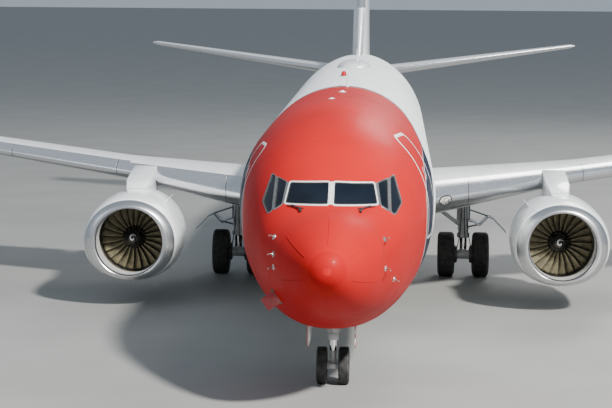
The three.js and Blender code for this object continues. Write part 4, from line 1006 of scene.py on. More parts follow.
hatches = ((((span / 0.72).math("FRACT") - 0.5) / 0.30).math("POWER", 2)
           + ((wing_share - 0.40) / 0.028).math("POWER", 2))
wing_middle = span * 0.105 + 2.26 - wing_share * (wing_trail - wing_lead) * (0.031 - span * 0.0025)
hatches = hatches.near(1, 0.10) * (wing_share > slat_edge) * (wing_paint.z < wing_middle)
wing_lines = slat_gap.at_least(slat_ends).at_least(spars).at_least(ribs_seen).at_least(hatches)
streak = wing_paint.streaks(6.0, 3, 0.4, 1)
grey = (streak.fade(0.4, 0.8) * 0.6).mix((0.76, 0.77, 0.78), (0.60, 0.60, 0.60))
brushed = wing_paint.streaks(4.0, 1.5, 30, 30)
bare = brushed.fade(0.3, 0.7).mix((0.74, 0.75, 0.77), (0.64, 0.65, 0.67))
wing_colour = slat.mix(grey, bare)
wing_paint.paint((wing_lines * 0.75).mix(wing_colour, (0.08, 0.08, 0.08)),
                 0.34 - slat * 0.12 + streak.fade(0.5, 0.9) * 0.1,
                 (1 - wing_lines).bump(0.003, 0.7, streak.bump(0.002, 0.15)), slat * 0.9)
bay_metal = mottled("bay_metal", 0.55, (4.0, 6.0), (0.35, 0.75), (0.62, 0.63, 0.63),
                    (0.50, 0.49, 0.47), (0.003, 0.4), metallic=0.2)
HANDS = ((1, "left"), (-1, "right"))
SPOILER_HINGE, BEHIND_HINGE = (5.9, -0.6065, 3.0857), (-0.3132, 0.9497)
WING_PARTS = ("wing", "flap_inboard", "flap_outboard", "aileron", "spoilers")
for side, hand in HANDS:
    cuts = [plane for ends in ((WING_ROOT, 4.9), (WING_KINK, WING_TIP))
            for plane in chord_planes(wing_plan, *ends, 0, 2, side)]
    for part in WING_PARTS:
        skin = finer(f"{part}_{hand}", cuts, wing_laid, wing_normal, (wing_paint, bay_metal))
        if part == "spoilers":
            hinge = (side * SPOILER_HINGE[0], *SPOILER_HINGE[1:])
            drawn_back(skin, hinge, (side * BEHIND_HINGE[0], BEHIND_HINGE[1], 0))
        if part == "wing":
            cleared(skin, lambda middle: abs(middle.x) < WING_TIP + 0.001)


# Blended winglets: carbon fibre, one curve up from the wing tip, with a thin bare metal edge.
# Each is lofted afresh, because its bend is too tight for a few flat sections.
WINGLET_ROWS = np.array([
    # step, across, up, aft of the tip's leading edge, chord, cant in degrees, thickness
    (-0.4, -0.080, -0.0084, -0.0416, 1.4555, 0, 0.105), (0, 0, 0, 0, 1.4366, 0, 0.105),
    (1, 0.210, 0.045, 0.150, 1.330, 18, 0.090), (2, 0.430, 0.190, 0.350, 1.180, 42, 0.090),
    (3, 0.585, 0.480, 0.640, 1.010, 64, 0.090), (4, 0.665, 1.050, 1.130, 0.820, 79, 0.090),
    (5, 0.735, 2.350, 2.330, 0.470, 83, 0.090),
])
TIP = (WING_TIP, 22.6232, 4.0618)
WINGLET_STEPS = np.concatenate([np.linspace(-0.4, 4, 34), np.linspace(4.1, 5, 8)])
winglet_paint = Finish("winglet_paint", roughness=0.2, coat=0.8)
tip_dirt = winglet_paint.noise(2.0, 5.0).fade(0.45, 0.8)
tip_white = (tip_dirt * 0.4).mix(WHITE, (0.62, 0.62, 0.62))
tip_red = (winglet_paint.z - 4.6).fade(0.0, 0.02) * (winglet_paint.z > 4.6)
winglet_paint.paint(tip_red.mix(tip_white, RED), tip_dirt * 0.1 + 0.16,
                    winglet_paint.noise(8.0, 2.0).bump(0.003, 0.1))
shares = (1 - np.cos(np.linspace(0, np.pi, 25))) / 2
for side, hand in HANDS:
    rows = []
    for across, up, aft, chord, cant, thick in curve_through(WINGLET_ROWS, WINGLET_STEPS):
        lean = math.radians(cant)
        half = half_thickness(shares, thick) * chord + 0.004 * shares
        ring = [(share, high) for share, high in zip(shares, half)]
        ring += [(share, -high) for share, high in zip(shares[-1:0:-1], half[-1:0:-1])]
        rows.append([(side * (TIP[0] + across - high * math.sin(lean)),
                      TIP[1] + aft + share * chord - MIDDLE,
                      TIP[2] + up + high * math.cos(lean)) for share, high in ring])
    solid(f"winglet_{hand}", rows, winglet_paint, angle=40)


# Tail: fin with its dorsal fillet, and one-piece stabiliser, of aluminium and composite skins.
# The rudder and elevators are composite, hinged with a small gap. Leading edges are bare metal.
FIN_ROOT, FIN_TOP, FILLET_TOP, FLAT_LEAD = 5.08, 12.5, 6.75, 34.05


def stabiliser_plan(span):
    lead = FLAT_LEAD + 0.578 * span
    thick = np.interp(span, [7.025, 7.175], [0.1, 0.04])
    return lead, 37.6 + 1.87 * span / 7.175 - lead, 4.62 + 0.1228 * span, thick, span * 0, 0.0


def fin_plan(span):
    lead = np.interp(span, [FIN_ROOT, FIN_TOP], [31.56, 36.95])
    chord = np.interp(span, [FIN_ROOT, FIN_TOP], [6.0, 2.15])
    thick = np.interp(span, [12.34, FIN_TOP], [0.095, 0.04])
    return lead, chord, span * 0, thick, span * 0, 0.0


tail_paint = Finish("tail_paint", roughness=0.22, coat=0.7)
tail_station = tail_paint.y + MIDDLE
upright = tail_paint.z > 5.9
tail_span = abs(tail_paint.x)
fin_lead = (tail_paint.z - FIN_ROOT) * 0.7264 + 31.56
fin_share = (tail_station - fin_lead) / ((tail_paint.z - FIN_ROOT) * -0.5189 + 6.0)
flat_lead = tail_span * 0.578 + FLAT_LEAD
flat_share = (tail_station - flat_lead) / (tail_span * -0.3174 + 3.55)
tail_share = upright * fin_share + (1 - upright) * flat_share
on_tail = upright.at_least(tail_span > 0.9)
in_fillet = upright * (tail_paint.z < FILLET_TOP)
edge_metal = (tail_share < 0.045) * (tail_share > -0.004) * on_tail * (1 - in_fillet)
tail_gap = tail_share.near(0.045, 0.0012).at_least(tail_share.near(0.30, 0.0008))
tail_gap = tail_gap.at_least(tail_share.near(0.62, 0.0008)) * on_tail
tail_ribs = (tail_span + tail_paint.z).every(1.1, 0.0018)
tail_lines = tail_gap.at_least(tail_ribs * (tail_share > 0.045))
tail_dirt = tail_paint.streaks(5.0, 1, 0.3, 2)
tail_white = (tail_dirt.fade(0.45, 0.85) * 0.4).mix(WHITE, (0.64, 0.65, 0.66))
tail_grey = (tail_dirt.fade(0.4, 0.8) * 0.5).mix((0.66, 0.67, 0.68), (0.52, 0.52, 0.52))
tail_colour = ((1 - upright) * on_tail).mix(tail_white, tail_grey)
tail_colour = edge_metal.mix(tail_colour, (0.72, 0.73, 0.75))
tail_paint.paint((tail_lines * 0.7).mix(tail_colour, (0.10, 0.10, 0.10)), tail_dirt * 0.12 + 0.18,
                 (1 - tail_lines).bump(0.003, 0.6), edge_metal * 0.9)
flat_laid, flat_normal = foil_skin(stabiliser_plan, 0, 2, 7.1751)
fin_laid, fin_normal = foil_skin(fin_plan, 2, 0, FIN_TOP + 0.001)
flat_cuts = [plane for side in (1, -1)
             for plane in chord_planes(stabiliser_plan, 0.3, 7.0, 0, 2, side)]
fin_cuts = chord_planes(fin_plan, FIN_ROOT, 12.3, 2, 0)
for node in ("horizontal_stabiliser", "elevator_left", "elevator_right"):
    finer(node, flat_cuts, flat_laid, flat_normal, (tail_paint, bay_metal))
for node in ("fin", "rudder"):
    skin = finer(node, fin_cuts, fin_laid, fin_normal, (tail_paint, tail_paint), slack=0.02)


# Auxiliary power exhaust: a short pipe of heat-stained steel sheet, rolled and welded, that is
# clamped in the end of the tail cone inside a steel ring.
hot_steel = mottled("hot_steel", 0.38, (3.0, 5.0), (0.3, 0.75), (0.42, 0.38, 0.33),
                    (0.20, 0.17, 0.15), (0.0005, 0.4), (0.25, 0.28), (60.0,), metallic=0.9)


def turned(name, profile, place, finish, slot=None, axis="Y", sides=48, body="airframe",
           hollow=False, angle=30):
    """A shape turned about a line through place: profile pairs are radius, distance along it."""
    rows = []
    for radius, along in profile:
        row = []
        for turn in turns(sides):
            across, up = radius * math.cos(turn), radius * math.sin(turn)
            spot = {"X": (along, across, up), "Y": (across, along, up), "Z": (across, up, along)}
            row.append(Vector(spot[axis]) + Vector(place))
        rows.append(row)
    return solid(name, rows, finish, body, angle, hollow)


exhaust_profile = [(0.148, 17.62), (0.158, 17.7), (0.158, 18.27), (0.150, 18.28), (0.140, 18.27),
                   (0.132, 17.7)]
turned("auxiliary_exhaust_pipe", exhaust_profile, (0, 0, 4.565), hot_steel, "exhaust_metal",
       hollow=True)
end_rows = [[(wide * math.cos(t), along, 4.578 + tall * math.sin(t)) for t in turns(48)]
            for wide, tall, along in ((0.231, 0.281, 18.25), (0.228, 0.278, 18.291),
                                      (0.166, 0.170, 18.291), (0.162, 0.166, 18.25))]
solid("tail_cone_end", end_rows, hot_steel, angle=30, hollow=True)


# Engine nacelles: an inlet lip of polished aluminium with anti-ice air inside it, carbon fibre
# fan cowls hinged from the pylon, and a duct lined with sound-absorbing panels. Each is a wall
# lofted through the CAD model's own rings, flattened a little below.
ENGINE_SIDE, ENGINE_HEIGHT, NACELLE_SIDES = 4.86, 1.52, 96
COWL_ROWS = np.array([
    (13.000, 0.800, 0.765, 0.765), (13.008, 0.845, 0.805, 0.795), (13.025, 0.881, 0.832, 0.813),
    (13.110, 0.985, 0.905, 0.865), (13.330, 1.065, 0.975, 0.910), (13.800, 1.105, 1.030, 0.960),
    (14.500, 1.110, 1.050, 1.000), (15.300, 1.070, 1.030, 1.010), (16.300, 0.930, 0.925, 0.910),
])
INLET_ROWS = np.array([(13.000, 0.795), (13.012, 0.774), (13.060, 0.755), (13.200, 0.737),
                       (13.330, 0.737), (13.600, 0.755), (13.900, 0.787), (14.320, 0.787)])
DUCT_ROWS = np.array([(14.320, 0.787), (14.900, 0.872), (15.600, 0.893), (16.300, 0.885)])


def nacelle_rings(rows, steps, place, grow=0.0):
    """Rings through rows at these stations: round, or flattened below where rows give 3 reaches."""
    made = []
    for at, reaches in zip(steps, curve_through(rows, steps)):
        flattened = len(reaches) == 3
        half, high, low = reaches if flattened else reaches.repeat(3) + grow
        row = []
        for turn in turns(NACELLE_SIDES):
            up, across = math.cos(turn), math.sin(turn)
            power = 0.93 if up < 0 and flattened else 1.0
            reach = high if up > 0 else low
            row.append((place + half * math.copysign(abs(across) ** power, across), at - MIDDLE,
                        ENGINE_HEIGHT + reach * math.copysign(abs(up) ** power, up)))
        made.append(row)
    return made


cowl_paint = Finish("cowl_paint", roughness=0.25, coat=0.3)
cowl_station = cowl_paint.y + MIDDLE
cowl_dirt = cowl_paint.noise(1.4, 6.0, cowl_paint.join(cowl_paint.x, cowl_paint.y * 0.3,
                                                       cowl_paint.z))
low_down = cowl_paint.z.fade(1.2, 0.5)
cowl_white = (cowl_dirt.fade(0.4, 0.8) * 0.5).mix(WHITE, (0.60, 0.60, 0.60))
cowl_white = (low_down * cowl_dirt.fade(0.3, 0.6) * 0.7).mix(cowl_white, (0.40, 0.37, 0.33))
cowl_gaps = cowl_station.near(13.96, 0.005).at_least(cowl_station.near(15.02, 0.006))
cowl_under, cowl_across = cowl_paint.z < 0.75, abs(cowl_paint.x)
cowl_split = cowl_under * cowl_across.near(ENGINE_SIDE, 0.005)
cowl_latch = cowl_station.every(0.42, 0.10) * cowl_across.near(ENGINE_SIDE, 0.06)
cowl_latch = cowl_latch * cowl_under * (cowl_station > 13.96)
hatch = door_outline(cowl_paint, cowl_station, cowl_paint.z, 14.5, 1.75, 0.17, 0.13, 0.04)
cowl_lines = cowl_gaps.at_least(cowl_split).at_least(abs(hatch) < 0.004).at_least(cowl_latch * 0.6)
cowl_paint.paint((cowl_lines * 0.8).mix(cowl_white, (0.07, 0.07, 0.07)), cowl_dirt * 0.15 + 0.14,
                 (1 - cowl_lines).bump(0.004, 0.7, cowl_paint.noise(7.0, 2.0).bump(0.003, 0.1)))
lip_metal = Finish("inlet_lip_metal", roughness=0.3, metallic=1.0)
around = lip_metal.streaks(5.0, 3, 40, 3)
lip_seam = (lip_metal.y + MIDDLE).near(13.322, 0.006)
lip_colour = around.fade(0.35, 0.75).mix((0.70, 0.70, 0.71), (0.58, 0.58, 0.59))
lip_x, lip_z = abs(lip_metal.x) - ENGINE_SIDE, lip_metal.z - ENGINE_HEIGHT
lip_outer = (lip_x * lip_x + lip_z * lip_z).math("POWER", 0.5) > 0.80
lip_painted = lip_outer * (lip_metal.y + MIDDLE > 13.17)
lip_throat = (1 - lip_outer) * (lip_metal.y + MIDDLE).fade(13.05, 13.16)
lip_colour = lip_painted.mix(lip_colour, WHITE)
lip_metal.paint(lip_seam.mix(lip_colour, (0.15, 0.15, 0.15)), around * 0.14 + 0.22,
                around.bump(0.001, 0.2), 1 - lip_painted.at_least(lip_throat * 0.75))
liner = Finish("inlet_liner", roughness=0.55)
liner_station = liner.y + MIDDLE
holes = liner.add("TexVoronoi", {"feature": "F1"}, {"Vector": liner.place, "Scale": 90.0})
case_line = (liner_station > 13.86) * (liner_station < 13.90)
strip = liner_station.every(0.19, 0.012)
liner_colour = (holes.fade(0.2, 0.35) * 0.5).mix((0.56, 0.56, 0.56), (0.46, 0.46, 0.46))
liner_colour = case_line.mix(liner_colour, (0.70, 0.48, 0.16))
# Behind the fan case the duct is painted near-black, as painted shade inside it.
liner_colour = (liner_station > 13.90).mix(liner_colour, (0.05, 0.05, 0.045))
liner.paint((strip * 0.6).mix(liner_colour, (0.10, 0.10, 0.10)), holes * 0.2 + 0.42,
            holes.bump(0.001, 0.5))
for side, hand in HANDS:
    place = ENGINE_SIDE * side
    lip_steps = np.concatenate([np.linspace(13.0, 13.03, 9), np.linspace(13.045, 13.329, 16)])
    outside = nacelle_rings(COWL_ROWS, lip_steps, place)
    lip_steps = np.concatenate([np.linspace(13.329, 13.06, 12), np.linspace(13.05, 13.002, 8)])
    inside = nacelle_rings(INLET_ROWS, lip_steps, place)
    lip = solid(f"lip_{hand}", outside + inside, lip_metal, angle=50, hollow=True)
    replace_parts(lip, f"inlet_lip_{hand}")
    outside = nacelle_rings(COWL_ROWS, np.linspace(13.331, 16.3, 44), place)
    rim = nacelle_rings(DUCT_ROWS, np.linspace(16.3, 14.325, 18), place, 0.004)
    throat = nacelle_rings(INLET_ROWS, np.linspace(14.32, 13.331, 16), place)
    cowl = shape(f"cowl_{hand}", *loft(outside + rim + throat, closed_loft=True), cowl_paint,
                 "airframe")
    cowl.data.materials.append(liner.material)
    inner_from = len(outside) * NACELLE_SIDES
    for face in cowl.data.polygons:
        low, high = min(face.vertices), max(face.vertices)
        face.material_index = int(low >= inner_from - NACELLE_SIDES and high >= inner_from)
    cowl = crisp(outward(cowl), 50)
    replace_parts(cowl, f"nacelle_{hand}")


# Vortex strakes: one fin pressed from aluminium sheet on the inboard shoulder of each nacelle,
# riveted to the cowl by its flange.
for side, hand in HANDS:
    lean, rows = 0.72, []
    for at, low, high, half in ((13.90, 1.00, 1.045, 0.003), (14.10, 1.0, 1.10, 0.007),
                                (14.50, 1.0, 1.20, 0.008), (14.90, 1.0, 1.213, 0.008),
                                (15.05, 1.0, 1.210, 0.003)):
        rows.append([(side * (ENGINE_SIDE - math.sin(lean) * reach + math.cos(lean) * beside),
                      at - MIDDLE, ENGINE_HEIGHT + math.cos(lean) * reach + math.sin(lean) * beside)
                     for reach, beside in ((low, -half), (high, -half * 0.5), (high, half * 0.5),
                                           (low, half))])
    solid(f"strake_{hand}", rows, cowl_paint)


# Fans: 24 wide titanium blades, twisted from root to tip, set round a disc by Geometry Nodes. The
# spinner is black with a white spiral, which shows the ground crew that it turns.
BLADES, FAN_AT = 24, 14.06 - MIDDLE
BLADE_ROWS = np.array([  # step, distance from the axis, half chord, half thickness, stagger
    (0, 0.240, 0.085, 0.013, 0.45), (1, 0.500, 0.118, 0.008, 0.85), (2, 0.758, 0.132, 0.004, 1.12),
])
# The blades' olive tone is darkened as painted shade, for the shadow that the inlet casts on the
# fan.
blade_metal = mottled("fan_blade_metal", 0.40, (12.0, 5.0), (0.35, 0.75), (0.22, 0.195, 0.12),
                      (0.12, 0.11, 0.075), (0.0004, 0.3), (0.2, 0.32), (90.0,), metallic=0.5)
blade_rows = []
for reach, half, thick, stagger in curve_through(BLADE_ROWS, np.linspace(0, 2, 14)):
    ahead_part, across_part = math.cos(stagger), math.sin(stagger)
    ring = []
    for turn in turns(16):
        along = half * math.cos(turn)
        beside = thick * math.sin(turn) * 0.9 + 0.018 * (1 - math.cos(turn) ** 2) * reach
        ring.append((along * across_part + beside * ahead_part, reach,
                     -along * ahead_part * 0.9 + beside * across_part))
    blade_rows.append(ring)
blade = master_of(outward(shape("fan_blade", *loft(blade_rows, caps=True), blade_metal)))
spinner_paint = Finish("spinner_paint", roughness=0.3, coat=0.4)
spin_x = abs(spinner_paint.x) - ENGINE_SIDE
spin_x = spin_x * (1 - (spinner_paint.x < 0) * 2)
spin_z = spinner_paint.z - ENGINE_HEIGHT
spin_turn = spin_z.math("ARCTAN2", spin_x) / (2 * math.pi)
spin_reach = (spin_x * spin_x + spin_z * spin_z).math("POWER", 0.5)
spiral = (spin_turn + spin_reach * 11).math("FRACT")
spiral = (spiral < 0.30) * (spin_reach > 0.012) * (spin_reach < 0.085)
grime = spinner_paint.noise(20.0, 4.0).fade(0.5, 0.8)
spin_colour = (grime * 0.5).mix((0.012, 0.012, 0.013), (0.04, 0.04, 0.04))
spinner_paint.paint(spiral.mix(spin_colour, (0.75, 0.75, 0.74)), grime * 0.2 + 0.25,
                    grime.bump(0.0006, 0.3))
SPINNER = [(0.002, -0.300), (0.03, -0.288), (0.070, -0.262), (0.12, -0.212), (0.170, -0.150),
           (0.215, -0.082), (0.250, -0.010), (0.266, 0.040), (0.270, 0.190), (0.105, 0.190)]
for side, hand in HANDS:
    fan, centre = f"fan_{hand}", Vector((ENGINE_SIDE * side, FAN_AT + 0.09, ENGINE_HEIGHT))
    radial = [Vector((math.cos(turn), 0, math.sin(turn))) for turn in turns(BLADES, 0.25)]
    crosswise = [Vector((0, -1, 0)).cross(out) * -1 for out in radial]
    blades = set_out(f"fan_blades_{hand}", [centre] * BLADES, [(0, -1, 0)] * BLADES, crosswise,
                     blade, blade_metal, fan)
    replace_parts(blades, fan)
    place = (ENGINE_SIDE * side, FAN_AT, ENGINE_HEIGHT)
    turned(f"spinner_{hand}", SPINNER, place, spinner_paint, "dark_trim", body=fan, angle=45)


# Engine cores: casing, nozzle and plug of nickel alloy, welded and browned by heat, held in the
# duct by a ring of aluminium guide vanes.
CORE_PROFILE = np.array([(0, 0.02, 14.42), (1, 0.430, 14.42), (2, 0.520, 14.70), (3, 0.590, 15.40),
                         (4, 0.570, 16.20), (5, 0.432, 17.25)])
PLUG = [(0.300, 16.905), (0.290, 17.15), (0.17, 17.46), (0.06, 17.72), (0.002, 17.739)]
for side, hand in HANDS:
    place = (ENGINE_SIDE * side, -MIDDLE, ENGINE_HEIGHT)
    outer = [tuple(point) for point in curve_through(CORE_PROFILE, np.linspace(0, 5, 36))]
    profile = outer + [(0.428, 17.258), (0.402, 17.25), (0.384, 16.90)] + PLUG
    turned(f"core_{hand}", profile, place, hot_steel, "exhaust_metal", sides=64, angle=25)
    vanes = []
    for turn in turns(44):
        out = Vector((math.cos(turn), 0, math.sin(turn)))
        beside = Vector((-math.sin(turn), 0, math.cos(turn)))
        rows = []
        for reach in (0.47, 0.66, 0.835):
            middle = Vector(place) + out * reach + Vector((0, 14.62, 0))
            rows.append([middle + Vector((0, along, 0)) + beside * lean for along, lean in
                         ((-0.06, -0.012), (0.0, 0.005), (0.06, 0.0), (0.0, -0.006))])
        vanes.append(shape("vane", *loft(rows, caps=True), bay_metal))
    vanes = outward(joined(f"guide_vanes_{hand}", vanes))
    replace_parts(vanes, f"engine_core_{hand}")


# Probes and antennas: heated nickel pitot heads and vanes on the nose, blade antennas along
# the crown and keel, a glass-fibre dome over the satellite antenna, all on screwed flanges.
def on_body(station, turn, proud=0.0):
    """A point on the fuselage: turn is measured from the crown towards the left."""
    waist = NOSE_HEIGHT + 0.54 * min(1.0, station / 6.3) + lift_at(station)
    rough = [(math.sin(turn), station - MIDDLE, waist + math.cos(turn))]
    return Vector(fuselage_laid(rough, proud)[0])


bright_probe = mottled("probe_metal", 0.28, (40.0, 3.0), (0.35, 0.7), (0.62, 0.60, 0.56),
                       (0.36, 0.32, 0.28), (0.0005, 0.3), metallic=0.9)
probes = []
for station, turn, long in ((1.42, 1.31, 0.20), (1.30, 1.80, 0.20), (1.48, -1.31, 0.20),
                            (1.30, -1.57, 0.12), (1.30, -1.80, 0.20), (1.85, 2.02, 0.07)):
    foot, out = on_body(station, turn), fuselage_normal(np.array([on_body(station, turn)]))[0]
    out = Vector(out)
    elbow = foot + out * 0.085
    tip = elbow + Vector((0, -long, 0)) + out * 0.004
    path = bent([foot - out * 0.01, foot + out * 0.05, elbow + Vector((0, -0.03, 0)), tip], 5)
    taper = list(np.linspace(0.017, 0.008, len(path)))
    probes.append(tube("probe", path, taper, bright_probe, 12))
    flange = [foot + out * high for high in (-0.006, 0.001, 0.005, 0.006)]
    probes.append(tube("probe", flange, [0.052, 0.052, 0.050, 0.03], bright_probe, 20))
joined("nose_probes", probes)

strips = []
for turn in (0.0, 1.10, 2.0, math.pi, -2.0, -1.10):
    path = [on_body(at, turn, 0.002) for at in np.linspace(0.30, 1.06, 14)]
    strips.append(tube("strip", path, 0.0065, paint, 6))
joined("lightning_strips", strips)


fitting_white = mottled("fitting_white", 0.28, (6.0, 5.0), (0.45, 0.8), WHITE,
                        (0.715, 0.725, 0.725), (0.001, 0.2), coat=0.4)


def antenna(station, turn, tall, long, sweep, thick=0.05):
    """A thin swept antenna on an oval foot."""
    foot = on_body(station, turn)
    out = Vector(fuselage_normal(np.array([foot]))[0])
    aside = out.cross(Vector((0, 1, 0))).normalized()
    rows = []
    for share in (-0.1, 0.0, 0.06, 0.4, 0.75, 0.93, 1.0):
        chord = long * (1.25 if share <= 0 else 1.0 - 0.45 * share) * (0.8 if share == 1 else 1.0)
        half = thick * (0.75 if share <= 0 else 0.5 - 0.3 * share) * (0.3 if share == 1 else 1.0)
        middle = foot + out * (tall * share) + Vector((0, sweep * max(share, 0), 0))
        rows.append([middle + Vector((0, math.cos(t) * chord / 2, 0)) + aside * math.sin(t) * half
                     for t in turns(20)])
    return solid("antenna", rows, fitting_white, None, 40)


ANTENNAS = (
    (11.3, 0.03, 0.30, 0.30, 0.16), (6.91, -0.08, 0.02, 0.20, 0.0, 0.10),
    (26.2, 0.0, 0.30, 0.30, 0.16), (10.3, math.pi, 0.26, 0.28, 0.14),
    (24.4, math.pi, 0.16, 0.24, 0.10), (11.4, math.pi + 0.25, 0.20, 0.09, 0.12),
    (22.9, math.pi - 0.3, 0.20, 0.09, 0.12), (9.2, 0.0, 0.03, 0.20, 0.0, 0.12),
)
joined("body_antennas", [antenna(*sizes) for sizes in ANTENNAS])
dome_rows = []
for share in np.linspace(0, 1, 22):
    station = 20.6 + 2.9 * share
    swell = math.sin(math.pi * min(max(share, 0.001), 0.999)) ** 0.6
    crown = 5.04 + lift_at(station)
    row = []
    for turn in turns(32):
        across = math.copysign(abs(math.sin(turn)) ** 0.9, math.sin(turn))
        row.append((0.44 * (0.35 + 0.65 * swell) * across, station - MIDDLE,
                    crown - 0.07 + (0.07 + 0.15 * swell) * math.cos(turn)))
    dome_rows.append(row)
solid("satellite_dome", dome_rows, fitting_white, angle=50)


# Lights: red flashing beacons above and below, position lights in the winglets and tail, and
# landing lights in the wing roots, each a glass lens in a metal ring.
lens_red = mottled("lens_red", 0.08, (30.0,), (0.4, 0.6), (0.55, 0.01, 0.01), (0.35, 0.0, 0.0),
                   coat=1.0)
lens_red.set(Normal=(lens_red.z * 90).math("SINE").bump(0.001, 0.3))
lens_clear = Finish("lens_clear", roughness=0.06, coat=1.0)
ribbed = (lens_clear.x * 160).math("SINE")
lens_clear.paint(ribbed.fade(-1, 1).mix((0.62, 0.66, 0.70), (0.40, 0.43, 0.46)),
                 normal=ribbed.bump(0.001, 0.4))
lens_green = mottled("lens_green", 0.08, (30.0,), (0.4, 0.6), (0.01, 0.30, 0.12), (0.0, 0.2, 0.08),
                     coat=1.0)
BEACON = [(0.002, 0.125), (0.03, 0.120), (0.052, 0.10), (0.062, 0.07), (0.064, 0.03),
          (0.064, -0.02)]
BEACON_RING = [(0.085, -0.02), (0.085, 0.012), (0.075, 0.020), (0.064, 0.020), (0.064, -0.02)]
for label, flip, foot in (("upper", 1, on_body(16.0, -0.07)),
                          ("lower", -1, Vector((0, 15.2 - MIDDLE, 0.915 + lift_at(15.2))))):
    lens, ring = ([(reach, flip * high) for reach, high in rows] for rows in (BEACON, BEACON_RING))
    turned(f"beacon_{label}", lens, foot, lens_red, "red_paint", "Z", 32)
    turned(f"beacon_ring_{label}", ring, foot, bright_probe, "polished_metal", "Z", 32, hollow=True)
lens_cells = Finish("landing_lens", roughness=0.1, coat=1.0)
cells = lens_cells.add("TexVoronoi", {"feature": "F1"}, {"Vector": lens_cells.place, "Scale": 26.0})
lens_cells.paint(cells.fade(0.25, 0.6).mix((0.80, 0.80, 0.74), (0.12, 0.12, 0.11)),
                 normal=cells.bump(0.003, 0.5))


def edge_ring(side, across, up, wide, tall, proud):
    """An oval laid on the wing's leading edge, seen from ahead."""
    ring = []
    for turn in turns(36):
        span, rise = across + wide * math.cos(turn), up + tall * math.sin(turn)
        lead, chord, base, thick = (float(value) for value in wing_plan(np.array([span]))[:4])
        table = np.linspace(0, 0.06, 120)
        share = np.interp(abs(rise), half_thickness(table, thick) * chord, table)
        ring.append((side * span, lead + share * chord - MIDDLE - proud, base + rise))
    return ring


for side, hand, lens in ((1, "left", lens_red), (-1, "right", lens_green)):
    place = (side * 17.33, 22.72 - MIDDLE, 4.09)
    rows = [[(place[0] + side * across * math.cos(t), place[1] + share * 0.30,
              place[2] + up * math.sin(t) + share * 0.02) for t in turns(16)]
            for share, across, up in ((0, 0.004, 0.004), (0.08, 0.045, 0.022), (0.3, 0.075, 0.034),
                                      (0.7, 0.085, 0.046), (1.0, 0.06, 0.040))]
    solid(f"position_light_{hand}", rows, lens)
    rims = [edge_ring(side, 2.26, -0.06, 0.125 + grow, 0.095 + grow, proud)
            for grow, proud in ((0.03, -0.01), (0.028, 0.006), (0.003, 0.008), (0.0, -0.01))]
    solid(f"landing_light_rim_{hand}", rims, black_fitting, hollow=True)
    glass = [edge_ring(side, 2.26, -0.06, 0.129 * part, 0.099 * part, proud) for part, proud in
             ((1.0, -0.02), (1.0, 0.004), (0.8, 0.005), (0.5, 0.005), (0.02, 0.005))]
    solid(f"landing_light_{hand}", glass, lens_cells)
tail_lamp = [(0.002, 0.045), (0.022, 0.038), (0.034, 0.02), (0.036, -0.03)]
turned("tail_light", tail_lamp, (0, 18.262, 4.83), lens_clear, "glass", sides=24)


# Static wicks: short carbon rods that bleed off charge, each screwed to a trailing edge by its
# metal foot. They are set out in rows by Geometry Nodes.
wick_path = [Vector((0, 0, 0)), Vector((0.07, 0, 0)), Vector((0.075, 0, 0)), Vector((0.19, 0, 0))]
wick = master_of(tube("wick", wick_path, [0.006, 0.006, 0.0035, 0.0025], black_fitting, 6))


def wicks(name, plan, spans, body, upright=False, side=1, back=0.02):
    lead, chord, height = plan(np.array(spans))[:3]
    rear = lead + chord - MIDDLE - back
    places = [(0, y, x) if upright else (side * x, y, z) for x, y, z in zip(spans, rear, height)]
    runs = [(0, 1, 0)] * len(places)
    facing = [(1, 0, 0) if upright else (0, 0, 1)] * len(places)
    set_out(name, places, facing, runs, wick, black_fitting, body)


for side, hand in HANDS:
    wicks(f"wicks_aileron_{hand}", wing_plan, [13.4, 14.3, 15.2], f"aileron_{hand}", side=side)
    wicks(f"wicks_wing_{hand}", wing_plan, [15.8, 16.4, 17.0], "airframe", side=side)
    wicks(f"wicks_elevator_{hand}", stabiliser_plan, [4.8, 5.6, 6.4], f"elevator_{hand}", side=side,
          back=0.20)
wicks("wicks_rudder", fin_plan, [10.2, 11.0, 11.8], "rudder", upright=True)


# Vortex generators: small tabs folded from aluminium sheet, bonded in a row to the outer wing
# ahead of the ailerons, and set out by Geometry Nodes.
tab_rows = [[(-0.035, -0.001, 0), (0.035, -0.001, 0), (0.035, 0.001, 0), (-0.035, 0.001, 0)],
            [(-0.015, -0.001, 0.028), (0.035, -0.001, 0.028), (0.035, 0.001, 0.028),
             (-0.015, 0.001, 0.028)]]
tab = master_of(shape("tab", *loft(tab_rows, caps=True), wing_paint, smooth=False))
for side, hand in HANDS:
    spans = np.linspace(9.2, 15.6, 26)
    lead, chord = wing_plan(spans)[:2]
    rough = np.column_stack([side * spans, lead + chord * 0.24 - MIDDLE, 2.6 + 0.105 * spans + 0.4])
    feet = wing_laid(rough)
    facing = wing_normal(feet)
    runs = [(0.30 * side, 1, 0)] * len(feet)
    set_out(f"vortex_generators_{hand}", feet, facing, runs, tab, wing_paint)


# Belly fairing: glass-fibre panels over the wing join, air packs and wheel wells, screwed to a
# light frame. It is copied from the CAD model, cut fine and laid on its true curve.
FAIRING_ROWS = np.array([(12.3003, 1.57, 1.035), (13.1, 1.76, 0.985), (14.0, 1.93, 0.94),
                         (16.5, 1.99, 0.915), (19.8, 1.99, 0.915), (20.9, 1.85, 0.965),
                         (21.8997, 1.57, 1.035)])
FAIRING_TOP = 1.9997


def fairing_reach(points):
    at = points[:, 1] + MIDDLE
    half = np.interp(at, FAIRING_ROWS[:, 0], FAIRING_ROWS[:, 1])
    keel = np.interp(at, FAIRING_ROWS[:, 0], FAIRING_ROWS[:, 2])
    down = np.maximum(FAIRING_TOP + lift_at(at) - points[:, 2], 0) / (FAIRING_TOP - keel)
    power = 2 / 0.72
    return ((np.abs(points[:, 0]) / half) ** power + down**power) ** (1 / power)


